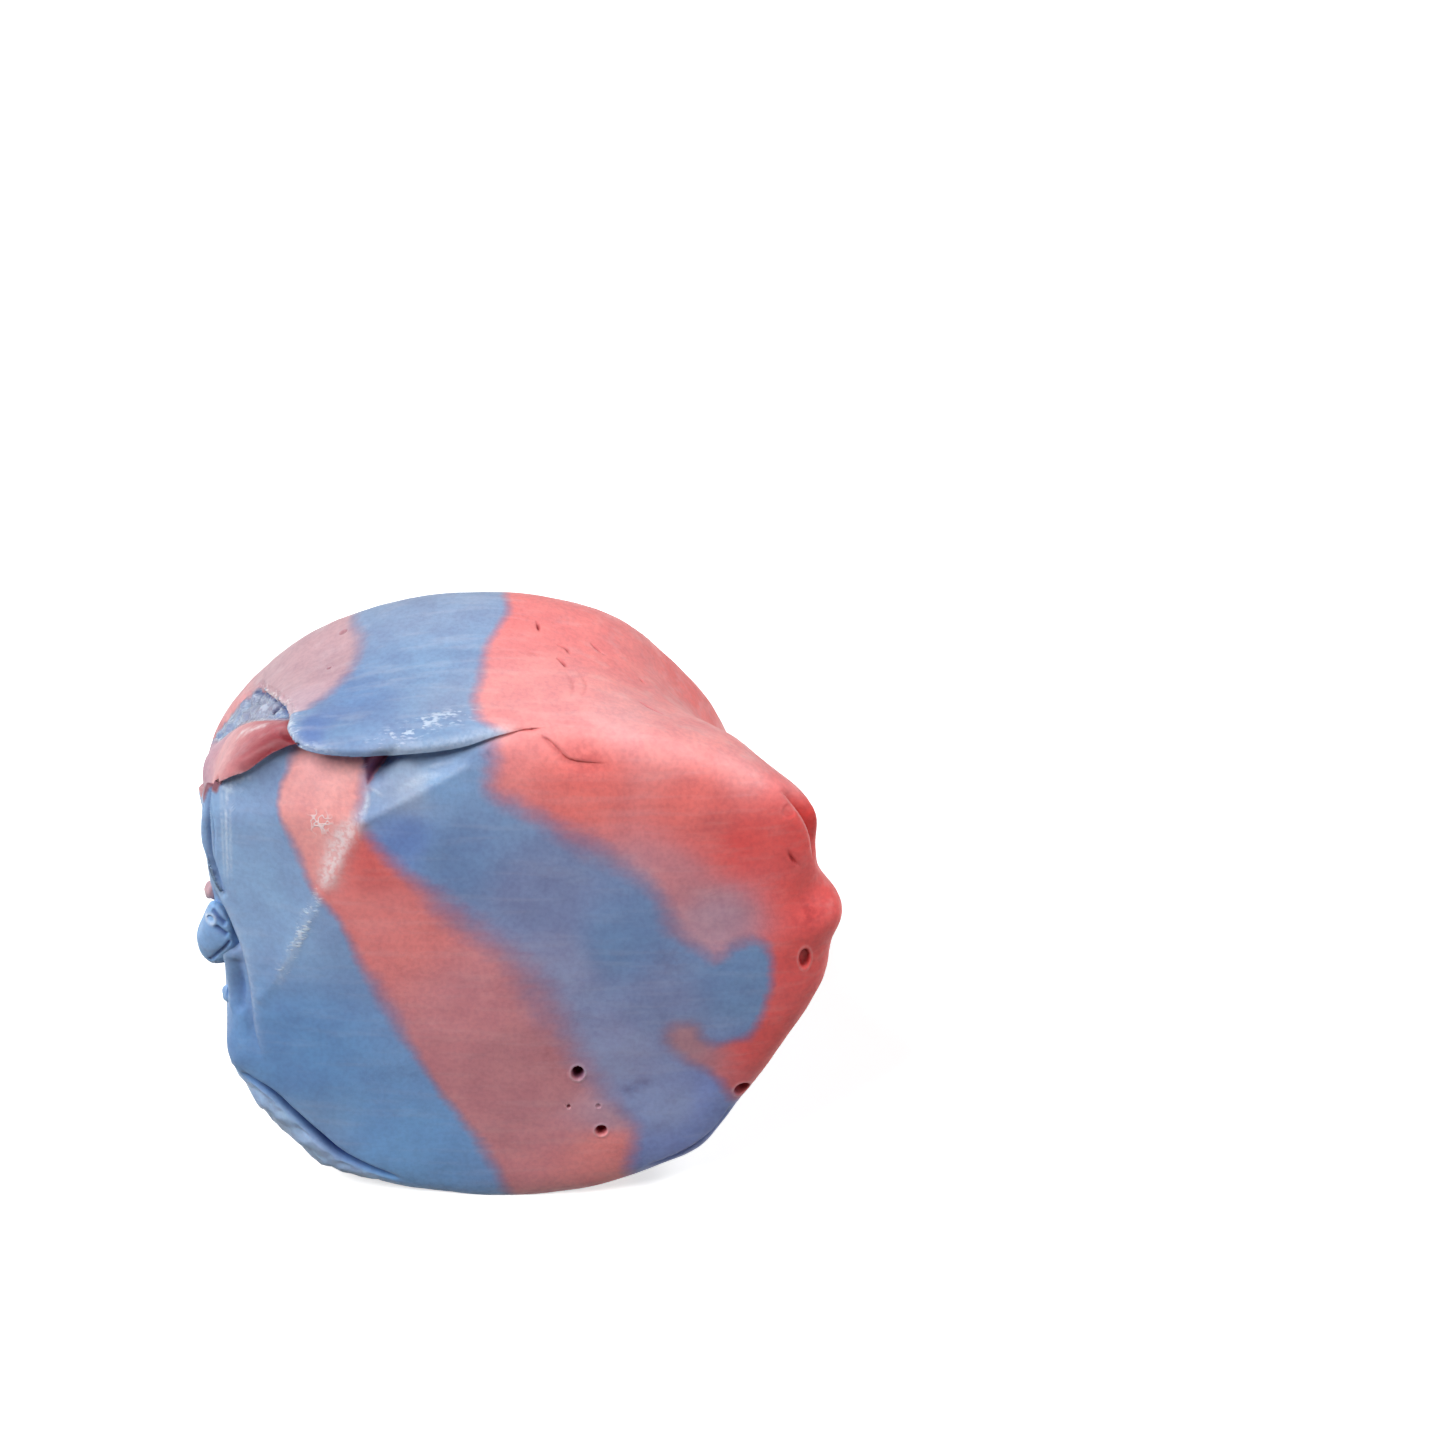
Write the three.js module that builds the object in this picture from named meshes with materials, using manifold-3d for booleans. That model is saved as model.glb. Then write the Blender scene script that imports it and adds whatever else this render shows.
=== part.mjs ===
// One piece of salt water taffy: a short length cut from a pulled rope, lying on its side.
// Millimetres, +Z up. The cut face looks along -Y and leans back a little, and the base lies on Z = 0.
import * as THREE from "three";
import { mergeVertices } from "three/addons/utils/BufferGeometryUtils.js";
import Module from "manifold-3d";

const wasm = await Module();
wasm.setup();
const { Manifold, Mesh } = wasm;

// Driving sizes
const DEPTH = 16.4;
const FACE_LEAN = Math.tan(THREE.MathUtils.degToRad(9));
const BACK_LEAN = Math.tan(THREE.MathUtils.degToRad(3));
const FACE_BULGE = 0.7;
const FRONT_RIM_POWER = 11;
const BACK_RIM_POWER = 5;
const CORE = new THREE.Vector3(0, 0, 10.6);

// The mesh starts as a box of squares, across, deep and high, and is made finer near the folds
const SQUARES = [26, 14, 20];
const FINE_BAND = 1.2;
const FINEST_BAND = 0.65;
const DRAWN_ROW = 0.42;
const CREVICE_GAP = 0.12 * DRAWN_ROW;

// The cut rim and the far rim of the rope, as x and z seen from the front
const FRONT_OUTLINE = [
  [-0.6, -0.5], [2.6, -0.1], [5.0, 0.8], [6.9, 1.8], [8.4, 3.2], [9.8, 5.1], [10.8, 6.7], [12.0, 8.9],
  [12.6, 10.5], [12.9, 12.0], [13.3, 13.4], [12.4, 15.0], [12.0, 17.1], [11.2, 19.0], [9.3, 20.3], [7.0, 21.1],
  [3.5, 21.8], [-0.5, 22.0], [-5, 21.9], [-9, 21.2], [-11.6, 19.8], [-12.6, 17.6], [-12.4, 15.0],
  [-12.1, 12.6], [-11.8, 10.0], [-12.0, 8.2], [-11.9, 6.3], [-11.1, 4.1], [-9.6, 2.3], [-7.7, 0.9],
  [-5.2, 0], [-3.5, -0.3],
];
const BACK_OUTLINE = [
  [-1.5, -0.5], [3.5, 0.3], [7.2, 2.8], [9.2, 6.6], [9.4, 10.8], [8.5, 14.9], [6.8, 18.1], [4.9, 20.1],
  [2.5, 21.1], [-0.8, 21.8], [-4.8, 21.4], [-7.4, 20.5], [-9.7, 19.1], [-11.5, 17.2], [-13.1, 14.4],
  [-13.3, 11], [-12.4, 6.6], [-9.8, 2.6], [-6, 0.2],
];

// An outline as a function from an angle about the core to a distance from it.
function outlineReach(outline) {
  const points = outline.map(([x, z]) => new THREE.Vector3(x - CORE.x, 0, z - CORE.z));
  const curve = new THREE.CatmullRomCurve3(points, true, "centripetal");
  const around = curve.getPoints(400).map((p) => [Math.atan2(p.z, p.x), Math.hypot(p.x, p.z)]);
  around.sort((a, b) => a[0] - b[0]);
  const turn = 2 * Math.PI;
  around.unshift([around.at(-1)[0] - turn, around.at(-1)[1]]);
  around.push([around[1][0] + turn, around[1][1]]);
  return (angle) => {
    const k = Math.max(around.findIndex(([a]) => a >= angle), 1);
    const [a0, r0] = around[k - 1];
    const [a1, r1] = around[k];
    return a1 > a0 ? THREE.MathUtils.mapLinear(angle, a0, a1, r0, r1) : r0;
  };
}

const frontReach = outlineReach(FRONT_OUTLINE);
const backReach = outlineReach(BACK_OUTLINE);

// Where the two cut faces lie at a height, how square their rims are, and how far the skin is from the core.
// The near face bulges at the core, and less at a share of the way out to its rim.
const frontAt = (z, share) => -DEPTH / 2 + FACE_LEAN * z - FACE_BULGE * Math.max(0, 1 - share * share);
const backAt = (z) => DEPTH / 2 - BACK_LEAN * z;
const rimPower = (along) => (along < 0 ? FRONT_RIM_POWER : BACK_RIM_POWER);
const reachAt = (angle, along) =>
  THREE.MathUtils.lerp(frontReach(angle), backReach(angle), THREE.MathUtils.smoothstep(along, -1, 0.4));

// Gives the place on the rope of a point of the box, which runs from -1 to 1 each way.
function onRope(p) {
  const x = p.x * Math.sqrt(1 - (p.z * p.z) / 2);
  const z = p.z * Math.sqrt(1 - (p.x * p.x) / 2);
  const power = rimPower(p.y);
  const out = Math.hypot(x, z);
  const shrink = Math.pow(Math.pow(out, power) + Math.pow(Math.abs(p.y), power), -1 / power);
  const along = p.y * shrink;
  const angle = Math.atan2(z, x);
  const reach = reachAt(angle, along) * out * shrink;
  const height = CORE.z + reach * Math.sin(angle);
  const y = THREE.MathUtils.mapLinear(along, -1, 1, frontAt(height, out * shrink), backAt(height));
  return new THREE.Vector3(CORE.x + reach * Math.cos(angle), y, height);
}

// Runs from 0 inside the rope to 1 on its skin and more outside it; its slope gives the way outward.
function fullness(p) {
  const angle = Math.atan2(p.z - CORE.z, p.x - CORE.x);
  const out = Math.hypot(p.x - CORE.x, p.z - CORE.z);
  const along = THREE.MathUtils.mapLinear(p.y, frontAt(p.z, out / frontReach(angle)), backAt(p.z), -1, 1);
  const power = rimPower(along);
  const share = out / reachAt(angle, along);
  return Math.pow(Math.pow(share, power) + Math.pow(Math.abs(along), power), 1 / power);
}
function slopeAt(p, step = 0.05) {
  const slope = new THREE.Vector3();
  for (const axis of ["x", "y", "z"]) {
    const [more, less] = [p.clone(), p.clone()];
    more[axis] += step;
    less[axis] -= step;
    slope[axis] = (fullness(more) - fullness(less)) / (2 * step);
  }
  return slope;
}
function ontoSkin(p) {
  for (let i = 0; i < 6; i++) {
    const slope = slopeAt(p);
    p.addScaledVector(slope, (1 - fullness(p)) / slope.lengthSq());
  }
  return p;
}

// The box's corners and triangles. The triangles near the edges and ridges are split once, and those
// nearest the edges twice.
function ropeMesh(edges, ridges) {
  const box = new THREE.BoxGeometry(2, 2, 2, ...SQUARES);
  box.deleteAttribute("normal");
  box.deleteAttribute("uv");
  const merged = mergeVertices(box, 1e-5);
  const at = merged.getAttribute("position");
  const corners = Array.from({ length: at.count }, (_, i) => new THREE.Vector3().fromBufferAttribute(at, i));
  let triangles = [];
  for (let i = 0; i < merged.index.count; i += 3) {
    triangles.push([0, 1, 2].map((k) => merged.index.getX(i + k)));
  }

  for (const [paths, band] of [[[...edges, ...ridges], FINE_BAND], [edges, FINEST_BAND]]) {
    const skin = corners.map(onRope);
    const middles = new Map();
    const key = (a, b) => (a < b ? `${a} ${b}` : `${b} ${a}`);
    const near = (t) => {
      const centre = skin[t[0]].clone().add(skin[t[1]]).add(skin[t[2]]).divideScalar(3);
      return paths.some((path) => Math.abs(path(centre).distance) < band);
    };
    for (const t of triangles) {
      if (!near(t)) continue;
      for (const [a, b] of [[t[0], t[1]], [t[1], t[2]], [t[2], t[0]]]) {
        if (middles.has(key(a, b))) continue;
        middles.set(key(a, b), corners.length);
        corners.push(corners[a].clone().lerp(corners[b], 0.5));
      }
    }
    triangles = triangles.flatMap(([a, b, c]) => {
      const [ab, bc, ca] = [middles.get(key(a, b)), middles.get(key(b, c)), middles.get(key(c, a))];
      const split = [ab, bc, ca].filter((m) => m !== undefined).length;
      if (split === 0) return [[a, b, c]];
      if (split === 3) return [[a, ab, ca], [ab, b, bc], [ca, bc, c], [ab, bc, ca]];
      if (split === 1) {
        if (ab !== undefined) return [[a, ab, c], [ab, b, c]];
        if (bc !== undefined) return [[a, b, bc], [a, bc, c]];
        return [[a, b, ca], [ca, b, c]];
      }
      if (ab === undefined) return [[a, b, ca], [ca, b, bc], [ca, bc, c]];
      if (bc === undefined) return [[a, ab, ca], [ab, b, ca], [ca, b, c]];
      return [[a, ab, c], [ab, bc, c], [ab, b, bc]];
    });
  }
  return { skin: corners.map(onRope), triangles };
}

// A path on the skin, from [x, y, z, share] points. For any point it gives the nearest foot on the path, the
// outward and across ways there, the distance, positive on the path's left, and the share of a fold's strength.
function skinPath(points) {
  const corners = points.map(([x, y, z]) => new THREE.Vector3(x, y, z));
  const places = new THREE.CatmullRomCurve3(corners, false, "centripetal");
  const steps = 12 * (points.length - 1);
  const line = places.getPoints(steps).map(ontoSkin);
  const outs = line.map((p) => slopeAt(p, 0.2).normalize());
  return (p) => {
    let best = null;
    for (let i = 0; i < steps; i++) {
      const run = line[i + 1].clone().sub(line[i]);
      const t = THREE.MathUtils.clamp(p.clone().sub(line[i]).dot(run) / run.lengthSq(), 0, 1);
      const foot = line[i].clone().addScaledVector(run, t);
      const distance = foot.distanceTo(p);
      if (!best || distance < best.distance) best = { i, t, foot, run, distance };
    }
    const along = best.run.normalize();
    const out = outs[best.i].clone().lerp(outs[best.i + 1], best.t);
    out.addScaledVector(along, -out.dot(along)).normalize();
    const across = out.clone().cross(along);
    const side = p.clone().sub(best.foot).dot(across) < 0 ? -1 : 1;
    const s = (best.i + best.t) / 12;
    const k = Math.min(Math.floor(s), points.length - 2);
    const share = THREE.MathUtils.lerp(points[k][3], points[k + 1][3], THREE.MathUtils.smoothstep(s, k, k + 1));
    return { foot: best.foot, out, across, distance: best.distance * side, share };
  };
}

// Presses the points that stand past a plane softly onto it, as far as `where` says.
function press(vertices, corners, soft, where) {
  const plane = new THREE.Plane().setFromCoplanarPoints(...corners);
  if (plane.distanceToPoint(CORE) > 0) plane.negate();
  vertices.forEach((p, i) => {
    const past = plane.distanceToPoint(p);
    const over = past > 20 * soft ? past : soft * Math.log1p(Math.exp(past / soft));
    p.addScaledVector(plane.normal, -over * where(p, i));
  });
}

// Draws the rows of the mesh next to a path up to it, so that a crevice can follow it cleanly.
function drawUp(skin, path) {
  for (const p of skin) {
    const { foot, distance, share } = path(p);
    const far = Math.abs(distance);
    const reach = 4 * DRAWN_ROW;
    if (far > reach) continue;
    const drawn = far < DRAWN_ROW
      ? (CREVICE_GAP * far) / DRAWN_ROW
      : THREE.MathUtils.mapLinear(far, DRAWN_ROW, reach, CREVICE_GAP, reach);
    p.lerpVectors(foot, p, THREE.MathUtils.lerp(far, drawn, Math.min(1, 3 * share)) / Math.max(far, 1e-9));
  }
}

// Folds the skin along a path: the left side hangs over as a lip, the right side sinks and tucks under it.
function fold(vertices, skin, path, { lift, overhang, nose, reach, depth, tuck, dent }) {
  skin.forEach((at, i) => {
    const { out, across, distance, share } = path(at);
    const far = Math.max(Math.abs(distance) - CREVICE_GAP, 0);
    if (distance > 0) {
      const drop = nose * share * Math.max(1 - far / (1.5 * nose), 0) ** 2;
      vertices[i].addScaledVector(out, lift * share * Math.exp(-((far / reach) ** 2)) - drop);
      vertices[i].addScaledVector(across, -overhang * share * Math.exp(-((far / reach) ** 2)));
    } else {
      vertices[i].addScaledVector(out, -depth * share * Math.exp(-((far / dent) ** 2)));
      vertices[i].addScaledVector(across, tuck * share * Math.exp(-((far / (0.5 * dent)) ** 2)));
    }
  });
}

// Raises a rounded swelling, or with a negative height a hollow, on the skin about a place.
function swell(vertices, skin, [x, y, z], radius, height) {
  const centre = new THREE.Vector3(x, y, z);
  const out = centre.clone().sub(CORE).normalize();
  skin.forEach((at, i) => {
    const far = at.distanceTo(centre) / radius;
    vertices[i].addScaledVector(out, height * Math.exp(-far * far));
  });
}

// The sheet over the top ends in a long crevice: the lobe's lip on the right and the small roll's on the left.
// Behind the roll the sheet has a torn patch, with an edge of its own.
const LOBE_LIP = skinPath([
  [-11.0, 4.0, 17.6, 0], [-10.4, 2.2, 18.9, 0.3], [-9.3, -0.4, 20.2, 0.4], [-8.8, -2.3, 21.0, 0.6],
  [-8.7, -3.4, 21.1, 0.8], [-8.2, -4.1, 21.1, 0.9], [-6.6, -4.4, 21.1, 1], [-4.4, -4.4, 21.2, 1],
  [-2.1, -4.3, 21.4, 0.8], [-0.5, -4.0, 21.7, 0.5], [0.5, -3.8, 21.8, 0.2], [1.6, -3.7, 21.8, 0],
]);
const ROLL_LIP = skinPath([
  [-13.5, 4.4, 12.0, 0], [-13.2, 2.2, 14.1, 0.5], [-12.7, -1.2, 17.4, 0.8], [-11.7, -3.7, 19.4, 1],
  [-10.7, -4.1, 20.2, 1], [-9.4, -3.9, 20.9, 1], [-8.7, -3.9, 21.1, 0.7], [-8.0, -4.0, 21.2, 0],
]);
const PATCH_EDGE = skinPath([
  [-12.9, 4.6, 14.4, 0], [-12.1, 3.0, 16.3, 0.6], [-11.1, 1.4, 18.0, 1], [-10.1, -0.6, 19.8, 1],
  [-9.2, -1.6, 20.6, 0.8], [-8.6, -2.2, 21.0, 0],
]);
// The cut face has an edge of its own on the left, above the flap at the foot and before the knob on the right
const FACE_EDGE = skinPath([
  [-12.2, -4.6, 16.6, 0], [-12.3, -5.1, 15.0, 0.4], [-11.7, -5.6, 13.7, 0.9], [-11.3, -5.9, 12.7, 1],
  [-11.0, -6.1, 11.8, 1], [-10.8, -6.4, 10.4, 1], [-10.7, -6.7, 8.6, 0.6], [-10.4, -7.0, 7.0, 0],
]);
const FLAP_EDGE = skinPath([
  [-11.5, -6.8, 6.5, 0], [-10.8, -7.0, 5.9, 0.6], [-9.6, -7.3, 4.6, 0.8], [-8.7, -7.4, 3.6, 1],
  [-7.7, -7.5, 2.4, 1], [-6.7, -7.6, 1.7, 0.6], [-4.9, -7.6, 0.8, 0],
]);
const KNOB_EDGE = skinPath([
  [12.1, -5.0, 15.4, 0], [11.8, -4.8, 16.7, 0.8], [11.4, -4.7, 17.6, 1], [11.0, -4.6, 18.4, 0.7],
  [10.5, -4.4, 19.1, 0],
]);

// Facets that fingers and the wrapper pressed into the cut face below the sheet meet at one corner
const CORNER = ontoSkin(new THREE.Vector3(-6.0, -5.2, 18.4));
const LOWER_RIDGE_END = ontoSkin(new THREE.Vector3(-10.2, -6.25, 10.0));
const UPPER_RIDGE_END = ontoSkin(new THREE.Vector3(-1.9, -4.6, 20.6));
const LEFT_OF_FACET = new THREE.Vector3(-10.9, -3.5, 19.9);
const LEFT_OF_UPPER_FACET = new THREE.Vector3(-5.9, -3.85, 20.65);
const FACET_SOFTNESS = 0.05;
const LOWER_RIDGE = skinPath([[...CORNER, 1], [...LOWER_RIDGE_END, 1]]);
const UPPER_RIDGE = skinPath([[...CORNER, 1], [...UPPER_RIDGE_END, 1]]);

const EDGES = [PATCH_EDGE, ROLL_LIP, LOBE_LIP, FACE_EDGE, FLAP_EDGE, KNOB_EDGE];
const { skin, triangles } = ropeMesh(EDGES, [LOWER_RIDGE, UPPER_RIDGE]);
for (const path of [LOWER_RIDGE, UPPER_RIDGE, ...EDGES]) drawUp(skin, path);
const vertices = skin.map((p) => p.clone());

const belowSheet = (at) => {
  if (at.y > 3) return 0;
  const lobe = LOBE_LIP(at).distance;
  const roll = ROLL_LIP(at).distance;
  return (Math.abs(lobe) < Math.abs(roll) ? lobe : roll) < 0 ? 1 : 0;
};
const below = (p, i) => belowSheet(skin[i]);
press(vertices, [CORNER, LOWER_RIDGE_END, LEFT_OF_FACET], FACET_SOFTNESS, below);
press(vertices, [CORNER, UPPER_RIDGE_END, LEFT_OF_UPPER_FACET], FACET_SOFTNESS, below);

const FOLDS = [
  [PATCH_EDGE, { lift: 0.2, overhang: 0.25, nose: 0.2, reach: 0.8, depth: 0.3, tuck: 0.3, dent: 0.5 }],
  [ROLL_LIP, { lift: 0.4, overhang: 0.2, nose: 0.55, reach: 1.2, depth: 0.35, tuck: 0.6, dent: 0.5 }],
  [LOBE_LIP, { lift: 0.45, overhang: 0.2, nose: 0.6, reach: 2.2, depth: 0.25, tuck: 0.7, dent: 0.5 }],
  [FACE_EDGE, { lift: 0.05, overhang: 0.1, nose: 0.15, reach: 0.6, depth: 0.5, tuck: 0.3, dent: 0.5 }],
  [FLAP_EDGE, { lift: 0.05, overhang: 0.1, nose: 0.15, reach: 0.6, depth: 0.6, tuck: 0.3, dent: 0.4 }],
  [KNOB_EDGE, { lift: 0.08, overhang: 0.1, nose: 0.2, reach: 0.6, depth: 0.4, tuck: 0.3, dent: 0.4 }],
];
for (const [path, sizes] of FOLDS) fold(vertices, skin, path, sizes);

swell(vertices, skin, [11.9, -3.4, 18.3], 1.4, 0.6); // knob
swell(vertices, skin, [11.6, -5.5, 14.4], 0.8, -0.3); // valley below the knob
swell(vertices, skin, [-11.6, -6.6, 6.9], 0.9, 0.2); // lump above the flap
swell(vertices, skin, [-8.2, -7.0, 1.6], 1.2, 0.45); // flap

for (const p of vertices) p.z = Math.max(p.z, 0);

function toSolid(geometry) {
  const positions = mergeVertices(geometry, 1e-5);
  return new Manifold(new Mesh({
    numProp: 3,
    vertProperties: Float32Array.from(positions.getAttribute("position").array),
    triVerts: Uint32Array.from(positions.index.array),
  }));
}

// A rounded blob, with its radii along and across, turned about Y.
function blob([x, y, z], [rx, ry, rz], tilt, segments = 12) {
  const ball = new THREE.SphereGeometry(1, segments, Math.round(segments * 0.7));
  ball.deleteAttribute("normal");
  ball.deleteAttribute("uv");
  ball.scale(rx, ry, rz).rotateX(0.001).rotateY(THREE.MathUtils.degToRad(tilt)).translate(x, y, z);
  return toSolid(ball);
}

const bodyGeometry = new THREE.BufferGeometry().setFromPoints(vertices);
bodyGeometry.setIndex(triangles.flat());

// A nub and two crumbs of paste are stuck to the left side
const LUMPS = [
  blob([-12.15, -4.75, 12.4], [0.8, 0.75, 1.5], 8),
  blob([-12.4, -4.5, 14.2], [0.35, 0.35, 0.4], 0),
  blob([-11.85, -5.6, 9.5], [0.3, 0.3, 0.4], 0),
];

// Burst air bubbles on the cut face: place, width, depth, height
const pit = ([x, y, z], radii) => blob(ontoSkin(new THREE.Vector3(x, y, z)), radii, 0);
const BUBBLE_PITS = [
  pit([2.1, -7.7, 6.9], [0.27, 0.6, 0.27]),
  pit([3.1, -7.7, 3.8], [0.27, 0.4, 0.27]),
  pit([11.4, -5.9, 11.7], [0.34, 0.5, 0.34]),
  pit([9.1, -6.7, 5.5], [0.36, 0.6, 0.36]),
];
const whole = Manifold.union([toSolid(bodyGeometry), ...LUMPS]).subtract(Manifold.union(BUBBLE_PITS));

const cut = whole.getMesh();
const mesh = new THREE.BufferGeometry();
mesh.setAttribute("position", new THREE.BufferAttribute(Float32Array.from(cut.vertProperties), 3));
mesh.setIndex(new THREE.BufferAttribute(Uint32Array.from(cut.triVerts), 1));

// The origin is the middle of the footprint
mesh.computeBoundingBox();
const middle = mesh.boundingBox.getCenter(new THREE.Vector3());
mesh.translate(-middle.x, -middle.y, -mesh.boundingBox.min.z);

const candy = new THREE.MeshStandardMaterial({ color: 0x9c8fb0, roughness: 0.5, metalness: 0 });
const taffy = new THREE.Mesh(mesh, candy);
taffy.name = "taffy";

const part = new THREE.Group();
part.add(taffy);
export default part;
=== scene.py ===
import math

import bmesh
import bpy
import numpy as np
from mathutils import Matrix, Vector, noise


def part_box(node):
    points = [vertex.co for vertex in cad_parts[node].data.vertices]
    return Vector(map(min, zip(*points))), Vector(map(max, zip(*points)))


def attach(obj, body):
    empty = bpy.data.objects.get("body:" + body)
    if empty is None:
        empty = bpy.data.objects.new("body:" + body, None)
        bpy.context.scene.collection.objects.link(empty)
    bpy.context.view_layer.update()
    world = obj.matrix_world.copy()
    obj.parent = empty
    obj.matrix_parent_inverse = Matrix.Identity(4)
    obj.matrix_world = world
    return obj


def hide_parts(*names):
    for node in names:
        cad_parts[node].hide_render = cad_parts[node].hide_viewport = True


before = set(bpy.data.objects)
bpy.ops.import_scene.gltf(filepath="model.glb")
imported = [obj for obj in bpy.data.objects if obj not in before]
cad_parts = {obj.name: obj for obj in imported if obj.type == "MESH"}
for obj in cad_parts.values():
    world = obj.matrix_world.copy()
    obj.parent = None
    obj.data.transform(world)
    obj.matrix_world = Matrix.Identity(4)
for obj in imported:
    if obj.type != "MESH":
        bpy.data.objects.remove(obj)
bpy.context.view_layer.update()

# The rope
# A thick rope of pulled sugar candy, soft enough to be squeezed out of round, and chopped across by a blade
# into pieces about 16 mm long. The near cut is flat with a crisp rim; the rest of the skin is rounded.

# Lengths are in millimetres, and places are measured from the middle of the footprint. The higher a rim's
# power is, the crisper the skin turns there.
MM = 0.001
DEPTH = 16.4
FACE_LEAN = math.tan(math.radians(9))
BACK_LEAN = math.tan(math.radians(3))
SOFT_RIM_POWER = 11
CRISP_RIM_POWER = 15
BACK_RIM_POWER = 5
FACE_BULGE = 0.7
CORE = np.array([0, 0, 10.6])
FRONT_OUTLINE = [
    (-0.6, -0.5), (2.6, -0.1), (5.0, 0.8), (6.9, 1.8), (8.2, 3.3), (9.6, 5.2), (10.6, 6.8), (11.9, 8.95),
    (12.6, 10.5), (12.9, 12.0), (13.3, 13.4), (12.4, 15.0), (12.0, 17.1), (11.2, 19.0), (9.3, 20.3),
    (7.0, 21.1), (3.5, 21.8), (-0.5, 22.0), (-5, 21.9), (-9, 21.2), (-11.6, 19.8), (-12.6, 17.6),
    (-12.4, 15.0), (-12.1, 12.6), (-11.8, 10.0), (-12.0, 8.2), (-11.9, 6.3), (-11.1, 4.1), (-9.6, 2.3),
    (-7.7, 0.9), (-5.2, 0), (-3.5, -0.3),
]
BACK_OUTLINE = [
    (-1.5, -0.5), (3.5, 0.3), (7.2, 2.8), (9.2, 6.6), (9.4, 10.8), (8.3, 14.8), (6.5, 17.8), (4.7, 19.8),
    (2.5, 21.1), (-0.8, 21.8), (-4.8, 21.4), (-7.4, 20.5), (-9.7, 19.1), (-11.5, 17.2), (-13.1, 14.4),
    (-13.3, 11), (-12.4, 6.6), (-9.8, 2.6), (-6, 0.2),
]


def smoothstep(value, low, high):
    t = np.clip((value - low) / (high - low), 0, 1)
    return t * t * (3 - 2 * t)


def spline(points, steps=12, closed=False):
    """Points along a smooth curve through the given ones, evenly eased at uneven spacings."""
    points = np.array(points, dtype=float)
    if closed:
        points = np.vstack([points[-1:], points, points[:2]])
    else:
        points = np.vstack([2 * points[0] - points[1], points, 2 * points[-1] - points[-2]])
    gaps = np.sqrt(np.linalg.norm(np.diff(points[:, :3], axis=0), axis=1))
    t = np.linspace(0, 1, steps, endpoint=False)[:, None]
    stretches = []
    for k in range(1, len(points) - 2):
        before, start, end, after = points[k - 1:k + 3]
        g0, g1, g2 = gaps[k - 1:k + 2]
        leave = g1 * ((start - before) / g0 - (end - before) / (g0 + g1) + (end - start) / g1)
        arrive = g1 * ((end - start) / g1 - (after - start) / (g1 + g2) + (after - end) / g2)
        bend = 2 * start - 2 * end + leave + arrive
        pull = -3 * start + 3 * end - 2 * leave - arrive
        stretches.append(start + leave * t + pull * t**2 + bend * t**3)
    return np.vstack(stretches + [points[-2:-1]])


def outline_reach(outline, middle):
    """An outline as a function from an angle about its middle to a distance from it."""
    curve = spline(np.array(outline) - middle, closed=True)
    angles = np.arctan2(curve[:, 1], curve[:, 0])
    order = np.argsort(angles)
    return lambda angle: np.interp(angle, angles[order], np.hypot(*curve[order].T), period=2 * math.pi)


front_reach = outline_reach(FRONT_OUTLINE, CORE[[0, 2]])
back_reach = outline_reach(BACK_OUTLINE, CORE[[0, 2]])


# Over this share of the way along the rope the front outline turns into the back one
OUTLINES_BLEND = (-1, 0.4)


def reach_at(angle, along):
    to_back = smoothstep(along, *OUTLINES_BLEND)
    return front_reach(angle) * (1 - to_back) + back_reach(angle) * to_back


# The front rim turns crisp over these shares of the way down and to the left of the core
CRISP_DOWN = (-0.2, 0.4)
CRISP_LEFT = (0.78, 0.92)


def rim_power(angle, along):
    """How crisply the skin turns into the cut faces: the front rim is crisper low down and on the left."""
    crisp = np.maximum(smoothstep(-np.sin(angle), *CRISP_DOWN), smoothstep(-np.cos(angle), *CRISP_LEFT))
    front = SOFT_RIM_POWER + (CRISP_RIM_POWER - SOFT_RIM_POWER) * crisp
    return np.where(along < 0, front, BACK_RIM_POWER)


def on_rope(cube):
    """Takes points of a cube that runs from -1 to 1 to the rope, and gives their places in its section."""
    x = cube[:, 0] * np.sqrt(1 - cube[:, 2]**2 / 2)
    z = cube[:, 2] * np.sqrt(1 - cube[:, 0]**2 / 2)
    angle = np.arctan2(z, x)
    power = rim_power(angle, cube[:, 1])
    out = np.hypot(x, z)
    shrink = (out**power + np.abs(cube[:, 1])**power)**(-1 / power)
    along = cube[:, 1] * shrink
    reach = reach_at(angle, along) * out * shrink
    height = CORE[2] + reach * np.sin(angle)
    front = FACE_LEAN * height - DEPTH / 2 - FACE_BULGE * (1 - (out * shrink)**2)
    back = DEPTH / 2 - BACK_LEAN * height
    y = front + (along + 1) / 2 * (back - front)
    place = np.column_stack([CORE[0] + reach * np.cos(angle), y, height])
    share = front_reach(angle) * out * shrink
    section = np.column_stack([CORE[0] + share * np.cos(angle), CORE[2] + share * np.sin(angle)])
    return place, section


def fullness(p):
    """Runs from 0 inside the rope to 1 on its skin and more outside it; its slope gives the way outward."""
    dx = p[:, 0] - CORE[0]
    dz = p[:, 2] - CORE[2]
    angle = np.arctan2(dz, dx)
    crown = np.maximum(0, 1 - (np.hypot(dx, dz) / front_reach(angle))**2)
    front = FACE_LEAN * p[:, 2] - DEPTH / 2 - FACE_BULGE * crown
    back = DEPTH / 2 - BACK_LEAN * p[:, 2]
    along = 2 * (p[:, 1] - front) / (back - front) - 1
    power = rim_power(angle, along)
    share = np.hypot(dx, dz) / reach_at(angle, along)
    return (share**power + np.abs(along)**power)**(1 / power)


SKIN_ROUNDS = 8
SLOPE_STEP = 0.05


def slope_at(p, step=SLOPE_STEP):
    steps = np.eye(3) * step
    return np.column_stack([(fullness(p + way) - fullness(p - way)) / (2 * step) for way in steps])


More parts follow.
